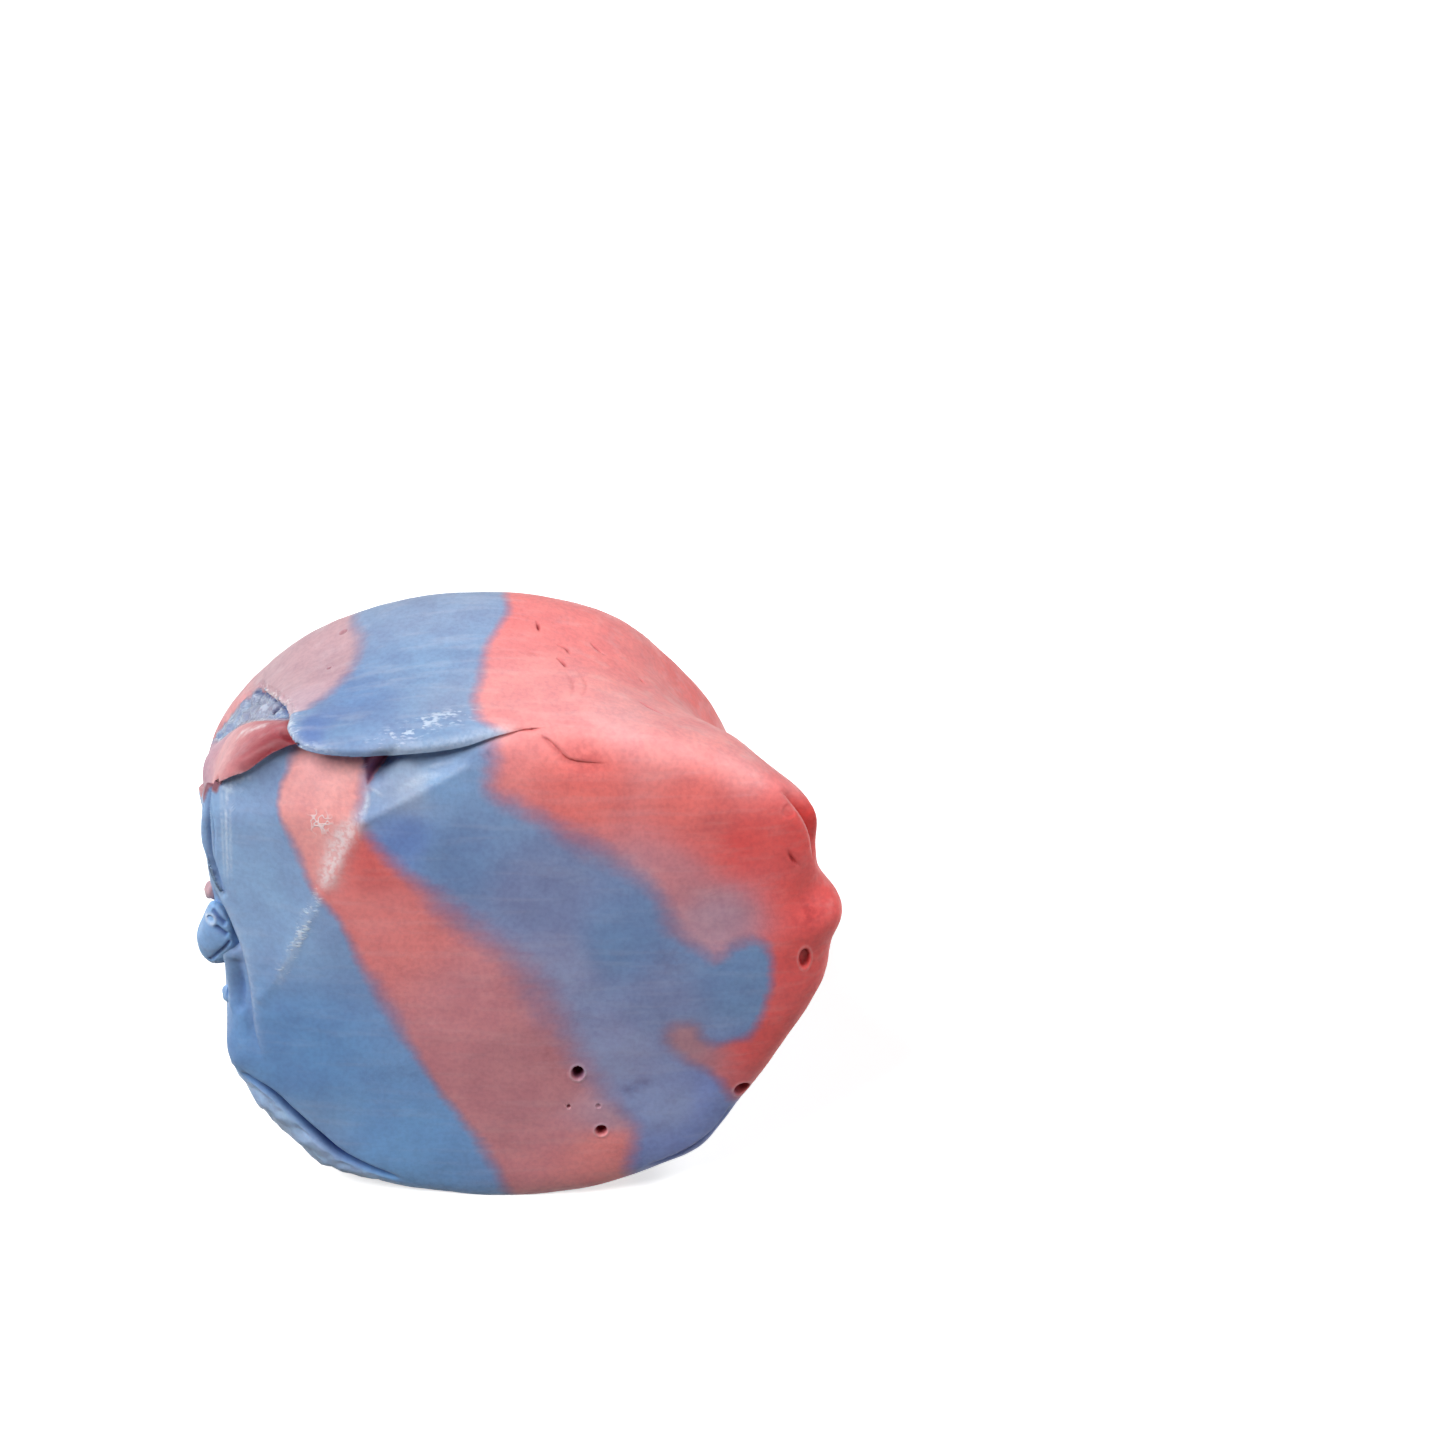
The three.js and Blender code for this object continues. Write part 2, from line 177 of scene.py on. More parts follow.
def unit(vectors):
    return vectors / np.linalg.norm(vectors, axis=-1, keepdims=True)


def onto_skin(p):
    for _ in range(SKIN_ROUNDS):
        slope = slope_at(p)
        p = p + slope * ((1 - fullness(p)) / (slope**2).sum(axis=1))[:, None]
    return p


PLACES_AT_ONCE = 4000


class SkinPath:
    """A path on the skin through [x, y, z, share] points; share is how strong a fold or mark is there."""

    def __init__(self, *points):
        points = np.array(points, dtype=float)
        if points.shape[1] == 3:
            points = np.column_stack([points, np.ones(len(points))])
        line = spline(points)
        self.line = onto_skin(line[:, :3])
        self.outs = unit(slope_at(self.line, 4 * SLOPE_STEP))
        steps = np.linspace(0, len(points) - 1, len(line))
        k = np.minimum(steps.astype(int), len(points) - 2)
        self.share = points[k, 3] + (points[k + 1, 3] - points[k, 3]) * smoothstep(steps - k, 0, 1)

    def near(self, places, within):
        """The places near the path: indices, feet, outward and across ways, distances and shares."""
        low = self.line.min(axis=0) - within
        high = self.line.max(axis=0) + within
        candidates = np.flatnonzero(((places > low) & (places < high)).all(axis=1))
        starts = self.line[:-1]
        runs = np.diff(self.line, axis=0)
        lengths = (runs**2).sum(axis=1)
        parts = []
        for chunk in np.array_split(candidates, max(1, len(candidates) // PLACES_AT_ONCE)):
            offsets = places[chunk][:, None] - starts
            t = np.clip((offsets * runs).sum(axis=2) / lengths, 0, 1)
            far = np.linalg.norm(offsets - t[..., None] * runs, axis=2)
            best = far.argmin(axis=1)
            rows = np.arange(len(chunk))
            keep = far[rows, best] < within
            parts.append((chunk[keep], best[keep], t[rows, best][keep], far[rows, best][keep]))
        index, k, t, far = [np.concatenate(column) for column in zip(*parts)]
        mix = t[:, None]
        along = unit(runs[k])
        foot = starts[k] + mix * runs[k]
        out = self.outs[k] * (1 - mix) + self.outs[k + 1] * mix
        out = unit(out - (out * along).sum(axis=1)[:, None] * along)
        across = np.cross(out, along)
        side = np.where(((places[index] - foot) * across).sum(axis=1) < 0, -1.0, 1.0)
        share = self.share[k] * (1 - t) + self.share[k + 1] * t
        return index, foot, out, across, far * side, share


# The folds, as paths of x, y, z and how strong the fold is. The sheet over the top ends in the lobe's lip
# on the right and the small roll's on the left, with a torn patch behind the roll. The cut face overhangs
# the side, the flap at the foot and the knob on the right.
LOBE_LIP = SkinPath(
    (-11.0, 4.0, 17.6, 0), (-10.4, 2.2, 18.9, 0.3), (-9.3, -0.4, 20.2, 0.4), (-8.8, -2.3, 21.0, 0.6),
    (-8.7, -3.4, 21.1, 0.8), (-8.2, -4.1, 21.1, 0.9), (-6.6, -4.4, 21.1, 1), (-4.4, -4.4, 21.2, 1),
    (-2.1, -4.3, 21.4, 0.8), (-0.5, -4.0, 21.7, 0.5), (0.5, -3.8, 21.8, 0.2), (1.6, -3.7, 21.8, 0),
)
ROLL_LIP = SkinPath(
    (-13.4, 4.4, 12.2, 0), (-13.3, 2.0, 13.7, 0.3), (-12.95, -1.4, 16.2, 0.3), (-12.6, -3.0, 18.3, 0.3),
    (-12.1, -4.0, 19.45, 0.3), (-11.45, -4.2, 19.75, 0.5), (-10.7, -4.25, 20.1, 1), (-9.4, -3.9, 20.9, 0.7),
    (-8.8, -3.9, 21.1, 0.25), (-8.3, -4.0, 21.2, 0),
)
PATCH_EDGE = SkinPath(
    (-12.9, 3.6, 14.9, 0), (-12.15, 2.1, 16.3, 0.6), (-11.7, 2.2, 16.8, 0.8), (-11.2, 1.6, 17.6, 1),
    (-10.15, -0.8, 19.75, 1), (-9.3, -1.7, 20.55, 0.8), (-8.6, -2.2, 21.0, 0),
)
ROLL_BODY = SkinPath(
    (-12.4, 0.3, 17.0, 0.3), (-11.7, -0.6, 18.4, 1), (-10.7, -1.6, 19.7, 1), (-9.5, -2.5, 20.7, 0.5),
)
FACE_EDGE = SkinPath(
    (-12.2, -4.6, 16.6, 0), (-12.3, -5.1, 15.0, 0.4), (-11.7, -5.6, 13.7, 0.9), (-11.3, -5.9, 12.7, 1),
    (-11.0, -6.1, 11.8, 1), (-10.8, -6.4, 10.4, 1), (-10.7, -6.7, 8.6, 0.6), (-10.4, -7.0, 7.0, 0),
)
FLAP_EDGE = SkinPath(
    (-11.6, -7.0, 6.2, 0), (-11.1, -7.1, 5.9, 0.3), (-10.3, -7.3, 5.4, 0.5), (-9.5, -7.5, 4.5, 0.6),
    (-8.7, -7.6, 3.6, 0.8), (-8.1, -7.7, 3.0, 1), (-7.6, -7.8, 2.5, 1), (-7.1, -7.9, 2.1, 0.8),
    (-6.1, -7.9, 1.5, 0.5), (-4.9, -7.8, 1.0, 0),
)
KNOB_EDGE = SkinPath(
    (11.9, -5.0, 15.9, 0), (11.55, -4.8, 16.9, 0.8), (11.15, -4.7, 17.7, 1), (10.75, -4.6, 18.4, 0.7),
    (10.3, -4.4, 19.1, 0),
)
EDGES = [ROLL_LIP, LOBE_LIP, FACE_EDGE, FLAP_EDGE, KNOB_EDGE]

# The left end of the cut face: a thin leaf stands beside a groove and a fine line, and lower down a second
# layer shows outside the face's edge, past a hollow
LEAF_GROOVE = SkinPath(
    (-12.05, -3.7, 19.0, 0.8), (-12.0, -3.8, 18.6, 1), (-11.9, -4.5, 17.3, 1), (-11.85, -4.9, 15.8, 0.8),
    (-11.6, -5.3, 14.6, 0.3), (-11.5, -5.4, 14.2, 0),
)
LEAF_LINE = SkinPath(
    (-11.6, -3.8, 18.9, 0), (-11.6, -3.9, 18.6, 1), (-11.6, -4.6, 17.3, 0.8), (-11.6, -5.0, 15.6, 0.4),
    (-11.5, -5.2, 14.8, 0),
)
LAYER_HOLLOW = SkinPath(
    (-11.2, -5.7, 11.6, 0), (-11.2, -5.8, 11.1, 0.7), (-11.2, -6.0, 10.2, 1), (-11.2, -6.2, 9.4, 0.6),
    (-11.3, -6.4, 8.8, 0),
)
LAYER_EDGE = SkinPath(
    (-11.45, -5.4, 12.2, 0), (-11.6, -5.6, 11.4, 1), (-11.7, -5.8, 10.4, 1), (-11.75, -6.0, 9.4, 0.8),
    (-11.7, -6.3, 8.7, 0),
)

# The cut face's lower right rim, where the blade left a thin overhanging burr
BURR = SkinPath(
    (5.0, -7.9, 1.7, 0), (5.7, -7.8, 2.0, 0.7), (6.5, -7.7, 2.5, 1), (7.3, -7.6, 3.1, 1), (7.8, -7.5, 3.5, 1),
    (8.2, -7.4, 4.0, 0.8), (8.5, -7.3, 4.6, 0),
)

# A dark pocket under the lobe's lip, where two facets of the face meet
POCKET = SkinPath(
    (-4.7, -4.1, 20.8, 0.4), (-5.15, -4.2, 20.5, 1), (-5.5, -4.35, 20.2, 1), (-5.8, -4.7, 19.7, 0.1),
)

# The gap between the face's edge and the nub that is stuck beside it
NUB_GAP = SkinPath(
    (-11.9, -5.0, 14.4, 0), (-11.75, -5.2, 13.8, 0.8), (-11.5, -5.4, 13.0, 1), (-11.3, -5.6, 12.3, 1),
    (-11.2, -5.7, 11.7, 0),
)

# Slits and cracks in the stretched skin of the top, and creases at the end of the lip
CRACKS = [
    SkinPath((0.7, 3.2, 21.6, 0.3), (0.75, 2.9, 21.6, 1), (0.8, 2.5, 21.6, 0)),
    SkinPath((1.6, 1.9, 21.4, 0.3), (1.9, 1.75, 21.4, 1), (2.1, 1.3, 21.4, 0)),
    SkinPath((1.6, 0.9, 21.4, 0.5), (1.8, 0.6, 21.4, 1), (1.95, 0.3, 21.4, 0)),
    SkinPath((2.9, 2.5, 20.9, 0.3), (3.1, 2.3, 20.9, 1), (3.4, 2.1, 20.8, 0.3)),
    SkinPath((4.8, 1.5, 20.0, 0), (4.9, 1.3, 20.0, 0.7), (5.1, 1.2, 19.9, 0)),
    SkinPath((4.9, -1.0, 20.8, 0.3), (5.3, -1.3, 20.8, 1), (5.8, -1.55, 20.7, 0.3)),
    SkinPath((10.7, -5.4, 16.9, 0), (10.95, -5.45, 16.4, 0.8), (11.3, -5.4, 15.9, 0)),
]
WRINKLES = [
    SkinPath((1.8, 0.4, 21.5, 0), (2.2, -0.9, 21.5, 1), (2.1, -2.0, 21.6, 0)),
    SkinPath((2.3, 0.6, 21.4, 0), (2.7, -0.75, 21.4, 1), (2.5, -2.15, 21.5, 0)),
    SkinPath((0.2, 1.3, 21.7, 0), (0.6, 1.0, 21.7, 1), (1.1, 0.9, 21.6, 0)),
    SkinPath((-0.4, -3.7, 21.8, 0), (0.2, -3.85, 21.8, 1), (0.7, -3.8, 21.7, 1), (1.1, -3.8, 21.7, 0)),
    SkinPath((-1.1, -4.4, 21.3, 0), (-1.0, -4.55, 21.1, 1), (-0.9, -4.7, 20.9, 0)),
]
LIP_CRESCENT = SkinPath(
    (0.8, -3.9, 21.7, 0), (1.4, -4.2, 21.5, 1), (2.1, -4.6, 21.0, 1), (2.8, -4.7, 20.9, 0.6),
    (3.8, -4.7, 20.8, 0),
)

GROOVES = [PATCH_EDGE, POCKET, LEAF_GROOVE, LEAF_LINE, LAYER_HOLLOW, LAYER_EDGE, BURR, NUB_GAP, LIP_CRESCENT]

# Facets that were pressed into the cut face below the sheet meet at one corner
CORNER, LOWER_RIDGE_END, UPPER_RIDGE_END = onto_skin(np.array([
    (-6.0, -5.2, 18.4), (-10.2, -6.25, 10.0), (-1.9, -4.6, 20.6),
]))
LOWER_RIDGE = SkinPath(CORNER, LOWER_RIDGE_END)
UPPER_RIDGE = SkinPath(CORNER, UPPER_RIDGE_END)
MIDDLE_RIDGE = SkinPath((-5.9, -4.5, 19.9), CORNER)
RIDGES = [LOWER_RIDGE, UPPER_RIDGE, MIDDLE_RIDGE]

# Burst air bubbles: each one's place, radius, height over width and depth
BUBBLE_PITS = [
    ((2.3, -7.7, 6.8), 0.27, 1.3, 0.6), ((3.2, -7.7, 3.8), 0.26, 1.1, 0.45),
    ((11.3, -5.9, 11.8), 0.26, 2.0, 0.2), ((8.8, -6.9, 5.5), 0.36, 1.0, 0.6),
    ((-7.6, 1.3, 20.7), 0.12, 1.0, 0.15), ((1.9, -7.9, 5.1), 0.09, 1.0, 0.12),
    ((3.1, -7.9, 5.1), 0.12, 1.0, 0.06), ((-7.2, 3.8, 20.5), 0.2, 1.0, 0.1),
    ((-9.6, -0.3, 19.9), 0.34, 1.0, 0.45), ((10.7, -4.9, 18.4), 0.3, 1.2, 0.03),
]
PIT_RIM_HEIGHT = 0.02

# Pits at least this deep are painted fully dark inside, as shade
DARKEST_DEPTH = 0.25


def from_pit(places, pit):
    """How far places are from a pit's middle, as a share of its radius."""
    place, radius, tall, _ = pit
    away = places - onto_skin(np.array([place]))
    return np.linalg.norm(away / (1, 1, tall), axis=1) / radius


def ring(far, middle, width):
    """1 at a distance from a place or a path, and fading to 0 on both sides of it."""
    return np.exp(-((far - middle) / width)**2)


# The mesh starts as a cube with this many squares across, along and up
SQUARES = (96, 52, 72)
CUBE_SIDE = 2
bpy.ops.object.select_all(action="DESELECT")
bpy.ops.mesh.primitive_cube_add(size=CUBE_SIDE)
rope = bpy.context.object
rope.name = "rope"
bpy.ops.object.mode_set(mode="EDIT")
bpy.ops.mesh.select_mode(type="EDGE")
for axis, count in enumerate(SQUARES):
    bpy.ops.mesh.select_all(action="DESELECT")
    cube = bmesh.from_edit_mesh(rope.data)
    for edge in cube.edges:
        run = edge.verts[1].co - edge.verts[0].co
        if abs(run[axis]) > CUBE_SIDE / 2:
            edge.select_set(True)
    bmesh.update_edit_mesh(rope.data)
    bpy.ops.mesh.subdivide(number_cuts=count - 1)

# The mesh is made finer in bands along the folds and marks, and round the pits, so that each keeps its
# crisp edge
PIT_BAND = 2
bpy.ops.mesh.select_mode(type="FACE")
for paths, band in [
    (EDGES + GROOVES + RIDGES + CRACKS + WRINKLES, 0.9), (EDGES + GROOVES + CRACKS, 0.45), (CRACKS, 0.25),
]:
    bpy.ops.mesh.select_all(action="DESELECT")
    cube = bmesh.from_edit_mesh(rope.data)
    centres = on_rope(np.array([face.calc_center_median() for face in cube.faces]))[0]
    close = np.zeros(len(centres), dtype=bool)
    for path in paths:
        close[path.near(centres, band)[0]] = True
    for pit in BUBBLE_PITS:
        close |= from_pit(centres, pit) < PIT_BAND
    for face, chosen in zip(cube.faces, close):
        if chosen:
            face.select_set(True)
    bmesh.update_edit_mesh(rope.data)
    bpy.ops.mesh.subdivide(number_cuts=1, ngon=False)
bpy.ops.object.mode_set(mode="OBJECT")

cube_places = np.empty(len(rope.data.vertices) * 3)
rope.data.vertices.foreach_get("co", cube_places)
skin, section = on_rope(cube_places.reshape(-1, 3))

# The rows of the mesh next to a fold are drawn up to it, so that its crevice runs cleanly. Where a fold is
# a third as strong or more, they are drawn all the way.
DRAWN_ROW = 0.11
DRAWN_BAND = 4 * DRAWN_ROW
CREVICE_GAP = 0.015
TINY = 1e-9
for path in EDGES + [LEAF_GROOVE, LEAF_LINE, BURR]:
    index, foot, _, _, distance, share = path.near(skin, DRAWN_BAND)
    far = np.abs(distance)
    stretch = (DRAWN_BAND - CREVICE_GAP) / (DRAWN_BAND - DRAWN_ROW)
    beyond = CREVICE_GAP + (far - DRAWN_ROW) * stretch
    drawn = np.where(far < DRAWN_ROW, CREVICE_GAP * far / DRAWN_ROW, beyond)
    share = np.minimum(1, 3 * share)
    wanted = far * (1 - share) + drawn * share
    skin[index] = foot + (skin[index] - foot) * (wanted / np.maximum(far, TINY))[:, None]

shape = skin.copy()
FAR_OFF = 99.0
LIP_BAND = 9
FACETS_END = 3


def signed(path, within):
    """The signed distance from a path of every point of the skin near it, and a large number elsewhere."""
    index, _, _, _, distance, _ = path.near(skin, within)
    result = np.full(len(skin), FAR_OFF)
    result[index] = distance
    return result


from_lobe = signed(LOBE_LIP, LIP_BAND)
from_roll = signed(ROLL_LIP, LIP_BAND)
from_patch = signed(PATCH_EDGE, LIP_BAND)
nearer_lip = np.where(np.abs(from_lobe) < np.abs(from_roll), from_lobe, from_roll)
below_sheet = (nearer_lip < 0) & (skin[:, 1] < FACETS_END)

# Past this many times its softness, a press is straight
STRAIGHT = 20


def press(corners, soft=0.05):
    """Presses what stands past a plane softly onto it, below the sheet."""
    a, b, c = np.array(corners)
    normal = unit(np.cross(b - a, c - a))
    if (CORE - a) @ normal > 0:
        normal = -normal
    past = (shape - a) @ normal
    rounded = soft * np.log1p(np.exp(np.minimum(past / soft, STRAIGHT)))
    over = np.where(past > STRAIGHT * soft, past, rounded)
    shape[below_sheet] -= over[below_sheet, None] * normal


def fold(path, lift, overhang, nose, reach, depth, tuck, dent):
    """The left side of a path hangs over as a lip, and the right side sinks and tucks under it."""
    index, _, out, across, distance, share = path.near(skin, 3 * max(reach, dent))
    far = np.maximum(np.abs(distance) - CREVICE_GAP, 0)
    lip = distance > 0
    crown = share * np.exp(-(far / reach)**2)
    drop = nose * share * np.maximum(1 - far / (1.5 * nose), 0)**2
    sink = share * np.exp(-(far / dent)**2)
    under = share * np.exp(-(far / (0.5 * dent))**2)
    rise = np.where(lip, lift * crown - drop, -depth * sink)
    shift = np.where(lip, -overhang * crown, tuck * under)
    shape[index] += rise[:, None] * out + shift[:, None] * across


def mark(path, width, height):
    """A ridge along a path, or with a negative height a groove."""
    index, _, out, _, distance, share = path.near(skin, 3 * width)
    shape[index] += (height * share * np.exp(-(distance / width)**2))[:, None] * out


def swell(place, radius, height):
    """A rounded swelling about a place, or with a negative height a hollow."""
    place = np.array(place)
    far = np.linalg.norm(skin - place, axis=1) / radius
    shape[:] += (height * np.exp(-far**2))[:, None] * unit(place - CORE)


press((CORNER, LOWER_RIDGE_END, (-10.9, -4.1, 19.9)))
press((CORNER, UPPER_RIDGE_END, (-5.9, -3.85, 20.65)))
mark(PATCH_EDGE, width=0.35, height=-0.25)
mark(ROLL_BODY, width=1.0, height=0.3)
fold(ROLL_LIP, lift=0.15, overhang=0.0, nose=0.4, reach=1.2, depth=-0.7, tuck=0.0, dent=0.8)
fold(LOBE_LIP, lift=0.45, overhang=0.2, nose=0.2, reach=2.2, depth=0.08, tuck=0.2, dent=0.25)
fold(FACE_EDGE, lift=0.05, overhang=0.1, nose=0.15, reach=0.6, depth=0.5, tuck=0.3, dent=0.5)
mark(FLAP_EDGE, width=0.13, height=-0.75)
fold(KNOB_EDGE, lift=0.08, overhang=0.1, nose=0.2, reach=0.6, depth=0.6, tuck=0.3, dent=0.35)
fold(BURR, lift=0.05, overhang=0.1, nose=0.1, reach=0.4, depth=0.3, tuck=0.1, dent=0.15)
mark(NUB_GAP, width=0.25, height=-0.6)
mark(POCKET, width=0.3, height=-0.6)
mark(LEAF_GROOVE, width=0.14, height=-0.5)
mark(LEAF_LINE, width=0.07, height=-0.1)
mark(LAYER_HOLLOW, width=0.25, height=-0.35)
mark(LAYER_EDGE, width=0.18, height=0.2)
for path in CRACKS:
    mark(path, width=0.06, height=-0.14)
for path in WRINKLES:
    mark(path, width=0.07, height=-0.05)
fold(LIP_CRESCENT, lift=0.06, overhang=0.03, nose=0.1, reach=0.4, depth=0.12, tuck=0.05, dent=0.35)
mark(LOWER_RIDGE, width=0.25, height=0.06)
mark(UPPER_RIDGE, width=0.25, height=0.05)
mark(MIDDLE_RIDGE, width=0.2, height=0.06)

# Swellings and hollows: each one's place, radius and height
SWELLINGS = {
    "knob": ((11.9, -3.4, 18.3), 1.4, 0.4),
    "knob's front": ((12.1, -3.8, 17.4), 0.8, 0.45),
    "valley below the knob": ((11.6, -5.5, 14.4), 0.8, -0.15),
    "low right rim": ((7.5, -6.8, 2.6), 1.6, 0.2),
    "ridge behind the knob": ((8.4, -1.0, 19.2), 1.8, 0.4),
    "top of the middle ridge": ((-6.3, -4.5, 20.0), 0.5, 0.15),
    "lump above the flap": ((-11.6, -6.6, 6.9), 0.9, 0.2),
    "flap": ((-8.2, -7.0, 1.6), 1.2, 0.25),
    "hollow under the crescent": ((3.0, -4.4, 20.8), 0.8, -0.15),
    "side of the roll": ((-12.9, 0.8, 16.2), 1.2, 0.6),
}
for place, radius, height in SWELLINGS.values():
    swell(place, radius, height)
for pit in BUBBLE_PITS:
    place, _, _, depth = pit
    far = from_pit(skin, pit)
    rim = PIT_RIM_HEIGHT * min(1, depth / DARKEST_DEPTH) * ring(far, 1.15, 0.25)
    sink = depth * (1 - smoothstep(far, 0.6, 1.0)) - rim
    shape -= sink[:, None] * unit(slope_at(onto_skin(np.array([place]))))

# The skin is never quite even: it swells and dips a little every few millimetres, and more finely by
# hundredths. The torn patch is lumpy, up to a slanting line where it ends, and so is the flap.
places = [Vector(place) for place in skin]
PATCH_SLANT = 0.3
TORN_HEIGHT = 0.22
TORN_SINK = 0.1
LUMPS_PER_MM = 1.9


def bumps(index, height, per_mm, offset=(0, 0, 0)):
    """How high the bumps are at some of the skin's points."""
    return height * np.array([noise.noise(places[k] * per_mm + Vector(offset)) for k in index])


whole_skin = range(len(skin))
uneven = bumps(whole_skin, 0.07, 0.35) + bumps(whole_skin, 0.025, 1.1, (9, 0, 0))
outward = unit(slope_at(skin))
past_patch = skin[:, 1] + PATCH_SLANT * skin[:, 0]
torn = np.flatnonzero((from_patch > 0.15) & (from_lobe < 0.25) & (from_patch < 3) & (past_patch < 0.3))
tears = np.array([noise.turbulence(places[k] * LUMPS_PER_MM, 3, False) for k in torn])
uneven[torn] += TORN_HEIGHT * tears - TORN_SINK
flap = np.flatnonzero((-signed(FLAP_EDGE, 3) > 0.3) & (skin[:, 0] < -6))
uneven[flap] += bumps(flap, 0.13, LUMPS_PER_MM)
shape += uneven[:, None] * outward

# The base lies flat on the table, and the mesh is centred on the solid's box
shape[:, 2] = np.maximum(shape[:, 2], 0)
low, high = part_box("taffy")
middle = (shape.min(axis=0) + shape.max(axis=0)) / 2
shift = np.array([(low.x + high.x) / 2 - middle[0] * MM, (low.y + high.y) / 2 - middle[1] * MM, 0])
rope.data.vertices.foreach_set("co", (shape * MM + shift).ravel())
rope.data.update()
bpy.ops.object.mode_set(mode="EDIT")
bpy.ops.mesh.select_all(action="SELECT")
bpy.ops.mesh.normals_make_consistent(inside=False)
bpy.ops.object.mode_set(mode="OBJECT")
bpy.ops.object.shade_smooth()

# Marbled candy
# Two sugar pastes, coral pink and light blue, pulled together until their stripes run along the rope, so
# the cut face shows their section. Where they were pulled longest they blend to mauve and violet.

# Seen from above, as x and y: the coral lies right of the first edge on the sheet, and the mauve left of
# the second
TOP_PINK_EDGE = [
    (5.0, -0.7), (3.7, -0.5), (2.2, -1.0), (0.8, -1.4), (-0.8, -1.4), (-2.1, -1.7), (-3.4, -1.3),
    (-4.0, -0.5),
]
TOP_MAUVE_EDGE = [(4.5, -6.8), (3.0, -6.5), (0.8, -6.7), (-0.6, -7.2), (-2.1, -8.1), (-2.7, -10.5)]

# Seen from the front, as x and z: the coral parts of the rope's section
BAND = [
    (-8.6, 21.5), (-9.5, 19.6), (-9.6, 18.7), (-9.1, 17.3), (-8.2, 15.4), (-7.0, 14.0), (-6.3, 12.1),
    (-5.4, 10.0), (-4.4, 8.1), (-3.3, 5.8), (-2.1, 3.8), (-1.0, 1.5), (-0.3, -1.0), (4.6, -1.0), (4.3, 1.5),
    (4.7, 3.9), (4.0, 5.0), (3.2, 6.1), (1.8, 8.6), (0.9, 10.6), (-0.3, 12.7), (-1.9, 13.8), (-3.0, 15.0),
    (-4.2, 16.1), (-5.5, 17.4), (-6.3, 18.6), (-6.0, 20.0), (-5.8, 21.5),
]
RIGHT_SIDE = [
    (-0.9, 24), (-0.9, 20.9), (-1.0, 20.0), (-0.5, 19.5), (0.6, 19.0), (1.8, 18.1), (3.4, 17.2), (4.3, 16.6),
    (5.1, 15.9), (5.7, 14.9), (6.1, 13.7), (6.7, 13.0), (7.2, 12.7), (7.8, 12.1), (8.2, 12.3), (8.6, 12.8),
    (9.3, 13.1), (9.9, 12.8), (10.1, 11.9), (10.1, 10.6), (9.8, 9.4), (9.3, 8.2), (8.7, 8.1), (7.8, 7.9),
    (7.3, 8.4), (7.3, 9.0), (6.8, 9.3), (6.1, 9.1), (5.8, 8.5), (6.0, 7.9), (6.7, 7.2), (7.5, 6.8),
    (8.2, 6.0), (8.6, 5.1), (9.4, 4.0), (18, 2), (18, 24),
]

# Seen from the front, as x and z: the shadowed paste under the roll's tail ends at the leaf's ragged top,
# and that in the pocket under the lobe's lip at the two facets below it
TAIL_SHADOW = [
    (-13.2, 17.6), (-12.45, 18.1), (-12.2, 18.7), (-11.9, 18.6), (-11.6, 19.15), (-11.0, 19.8), (-11, 21),
    (-13.2, 21),
]
POCKET_SHADOW = [
    (-6.1, 20.9), (-5.95, 20.2), (-5.85, 19.65), (-5.4, 19.85), (-5.1, 20.15), (-4.7, 20.55), (-4.4, 20.9),
]


def from_line(points, start, end):
    """How far points in a plane are from the straight line between two places."""
    run = end - start
    offset = points - start
    t = np.clip(offset @ run / (run @ run), 0, 1)
    return np.linalg.norm(offset - t[:, None] * run, axis=1)


def inside(points, corners):
    """How deep points in a plane are inside a closed outline, negative outside it."""
    corners = np.array(corners)
    ends = np.roll(corners, -1, axis=0)
    far = np.full(len(points), np.inf)
    odd = np.zeros(len(points), dtype=bool)
    for start, end in zip(corners, ends):
        run = end - start
        far = np.minimum(far, from_line(points, start, end))
        spans = (start[1] > points[:, 1]) != (end[1] > points[:, 1])
        with np.errstate(divide="ignore", invalid="ignore"):
            cross_x = start[0] + (points[:, 1] - start[1]) * run[0] / run[1]
        odd ^= spans & (points[:, 0] < cross_x)
    return np.where(odd, far, -far)


# The stripes turn a little about the core on their way to the far cut
TWIST = math.radians(28)
TWIST_ENDS = (-3, 9)
twist = TWIST * smoothstep(skin[:, 1], *TWIST_ENDS)
arm = section - CORE[[0, 2]]
turned = np.column_stack([
    arm[:, 0] * np.cos(twist) - arm[:, 1] * np.sin(twist),
    arm[:, 0] * np.sin(twist) + arm[:, 1] * np.cos(twist),
]) + CORE[[0, 2]]
face_pink = np.maximum(inside(turned, BAND), inside(turned, RIGHT_SIDE))


def edge_x(edge, y):
    y_places, x_places = np.array(sorted(edge)).T
    return np.interp(y, y_places, x_places)


past_coral = skin[:, 0] - edge_x(TOP_PINK_EDGE, skin[:, 1])
past_mauve = edge_x(TOP_MAUVE_EDGE, skin[:, 1]) - skin[:, 0]
top_pink = np.maximum(past_coral, past_mauve)

# The sheet lies over the upward parts of the skin, and ends sharply at the two lips
SHEET_SLOPES = (0.35, 0.6)
SHEET_HEIGHTS = (12, 14)
LIPS_END = 4.2
ROLL_END = 4.8
sheet = smoothstep(outward[:, 2], *SHEET_SLOPES) * smoothstep(skin[:, 2], *SHEET_HEIGHTS)
close_to_lip = (np.abs(nearer_lip) < 3) & (skin[:, 1] < LIPS_END)
sheet[close_to_lip] = nearer_lip[close_to_lip] > -0.08
pink_mm = face_pink * (1 - sheet) + top_pink * sheet
roll = (from_roll > 0) & (from_patch < 0) & (from_roll < 4) & (from_lobe < 0.02)

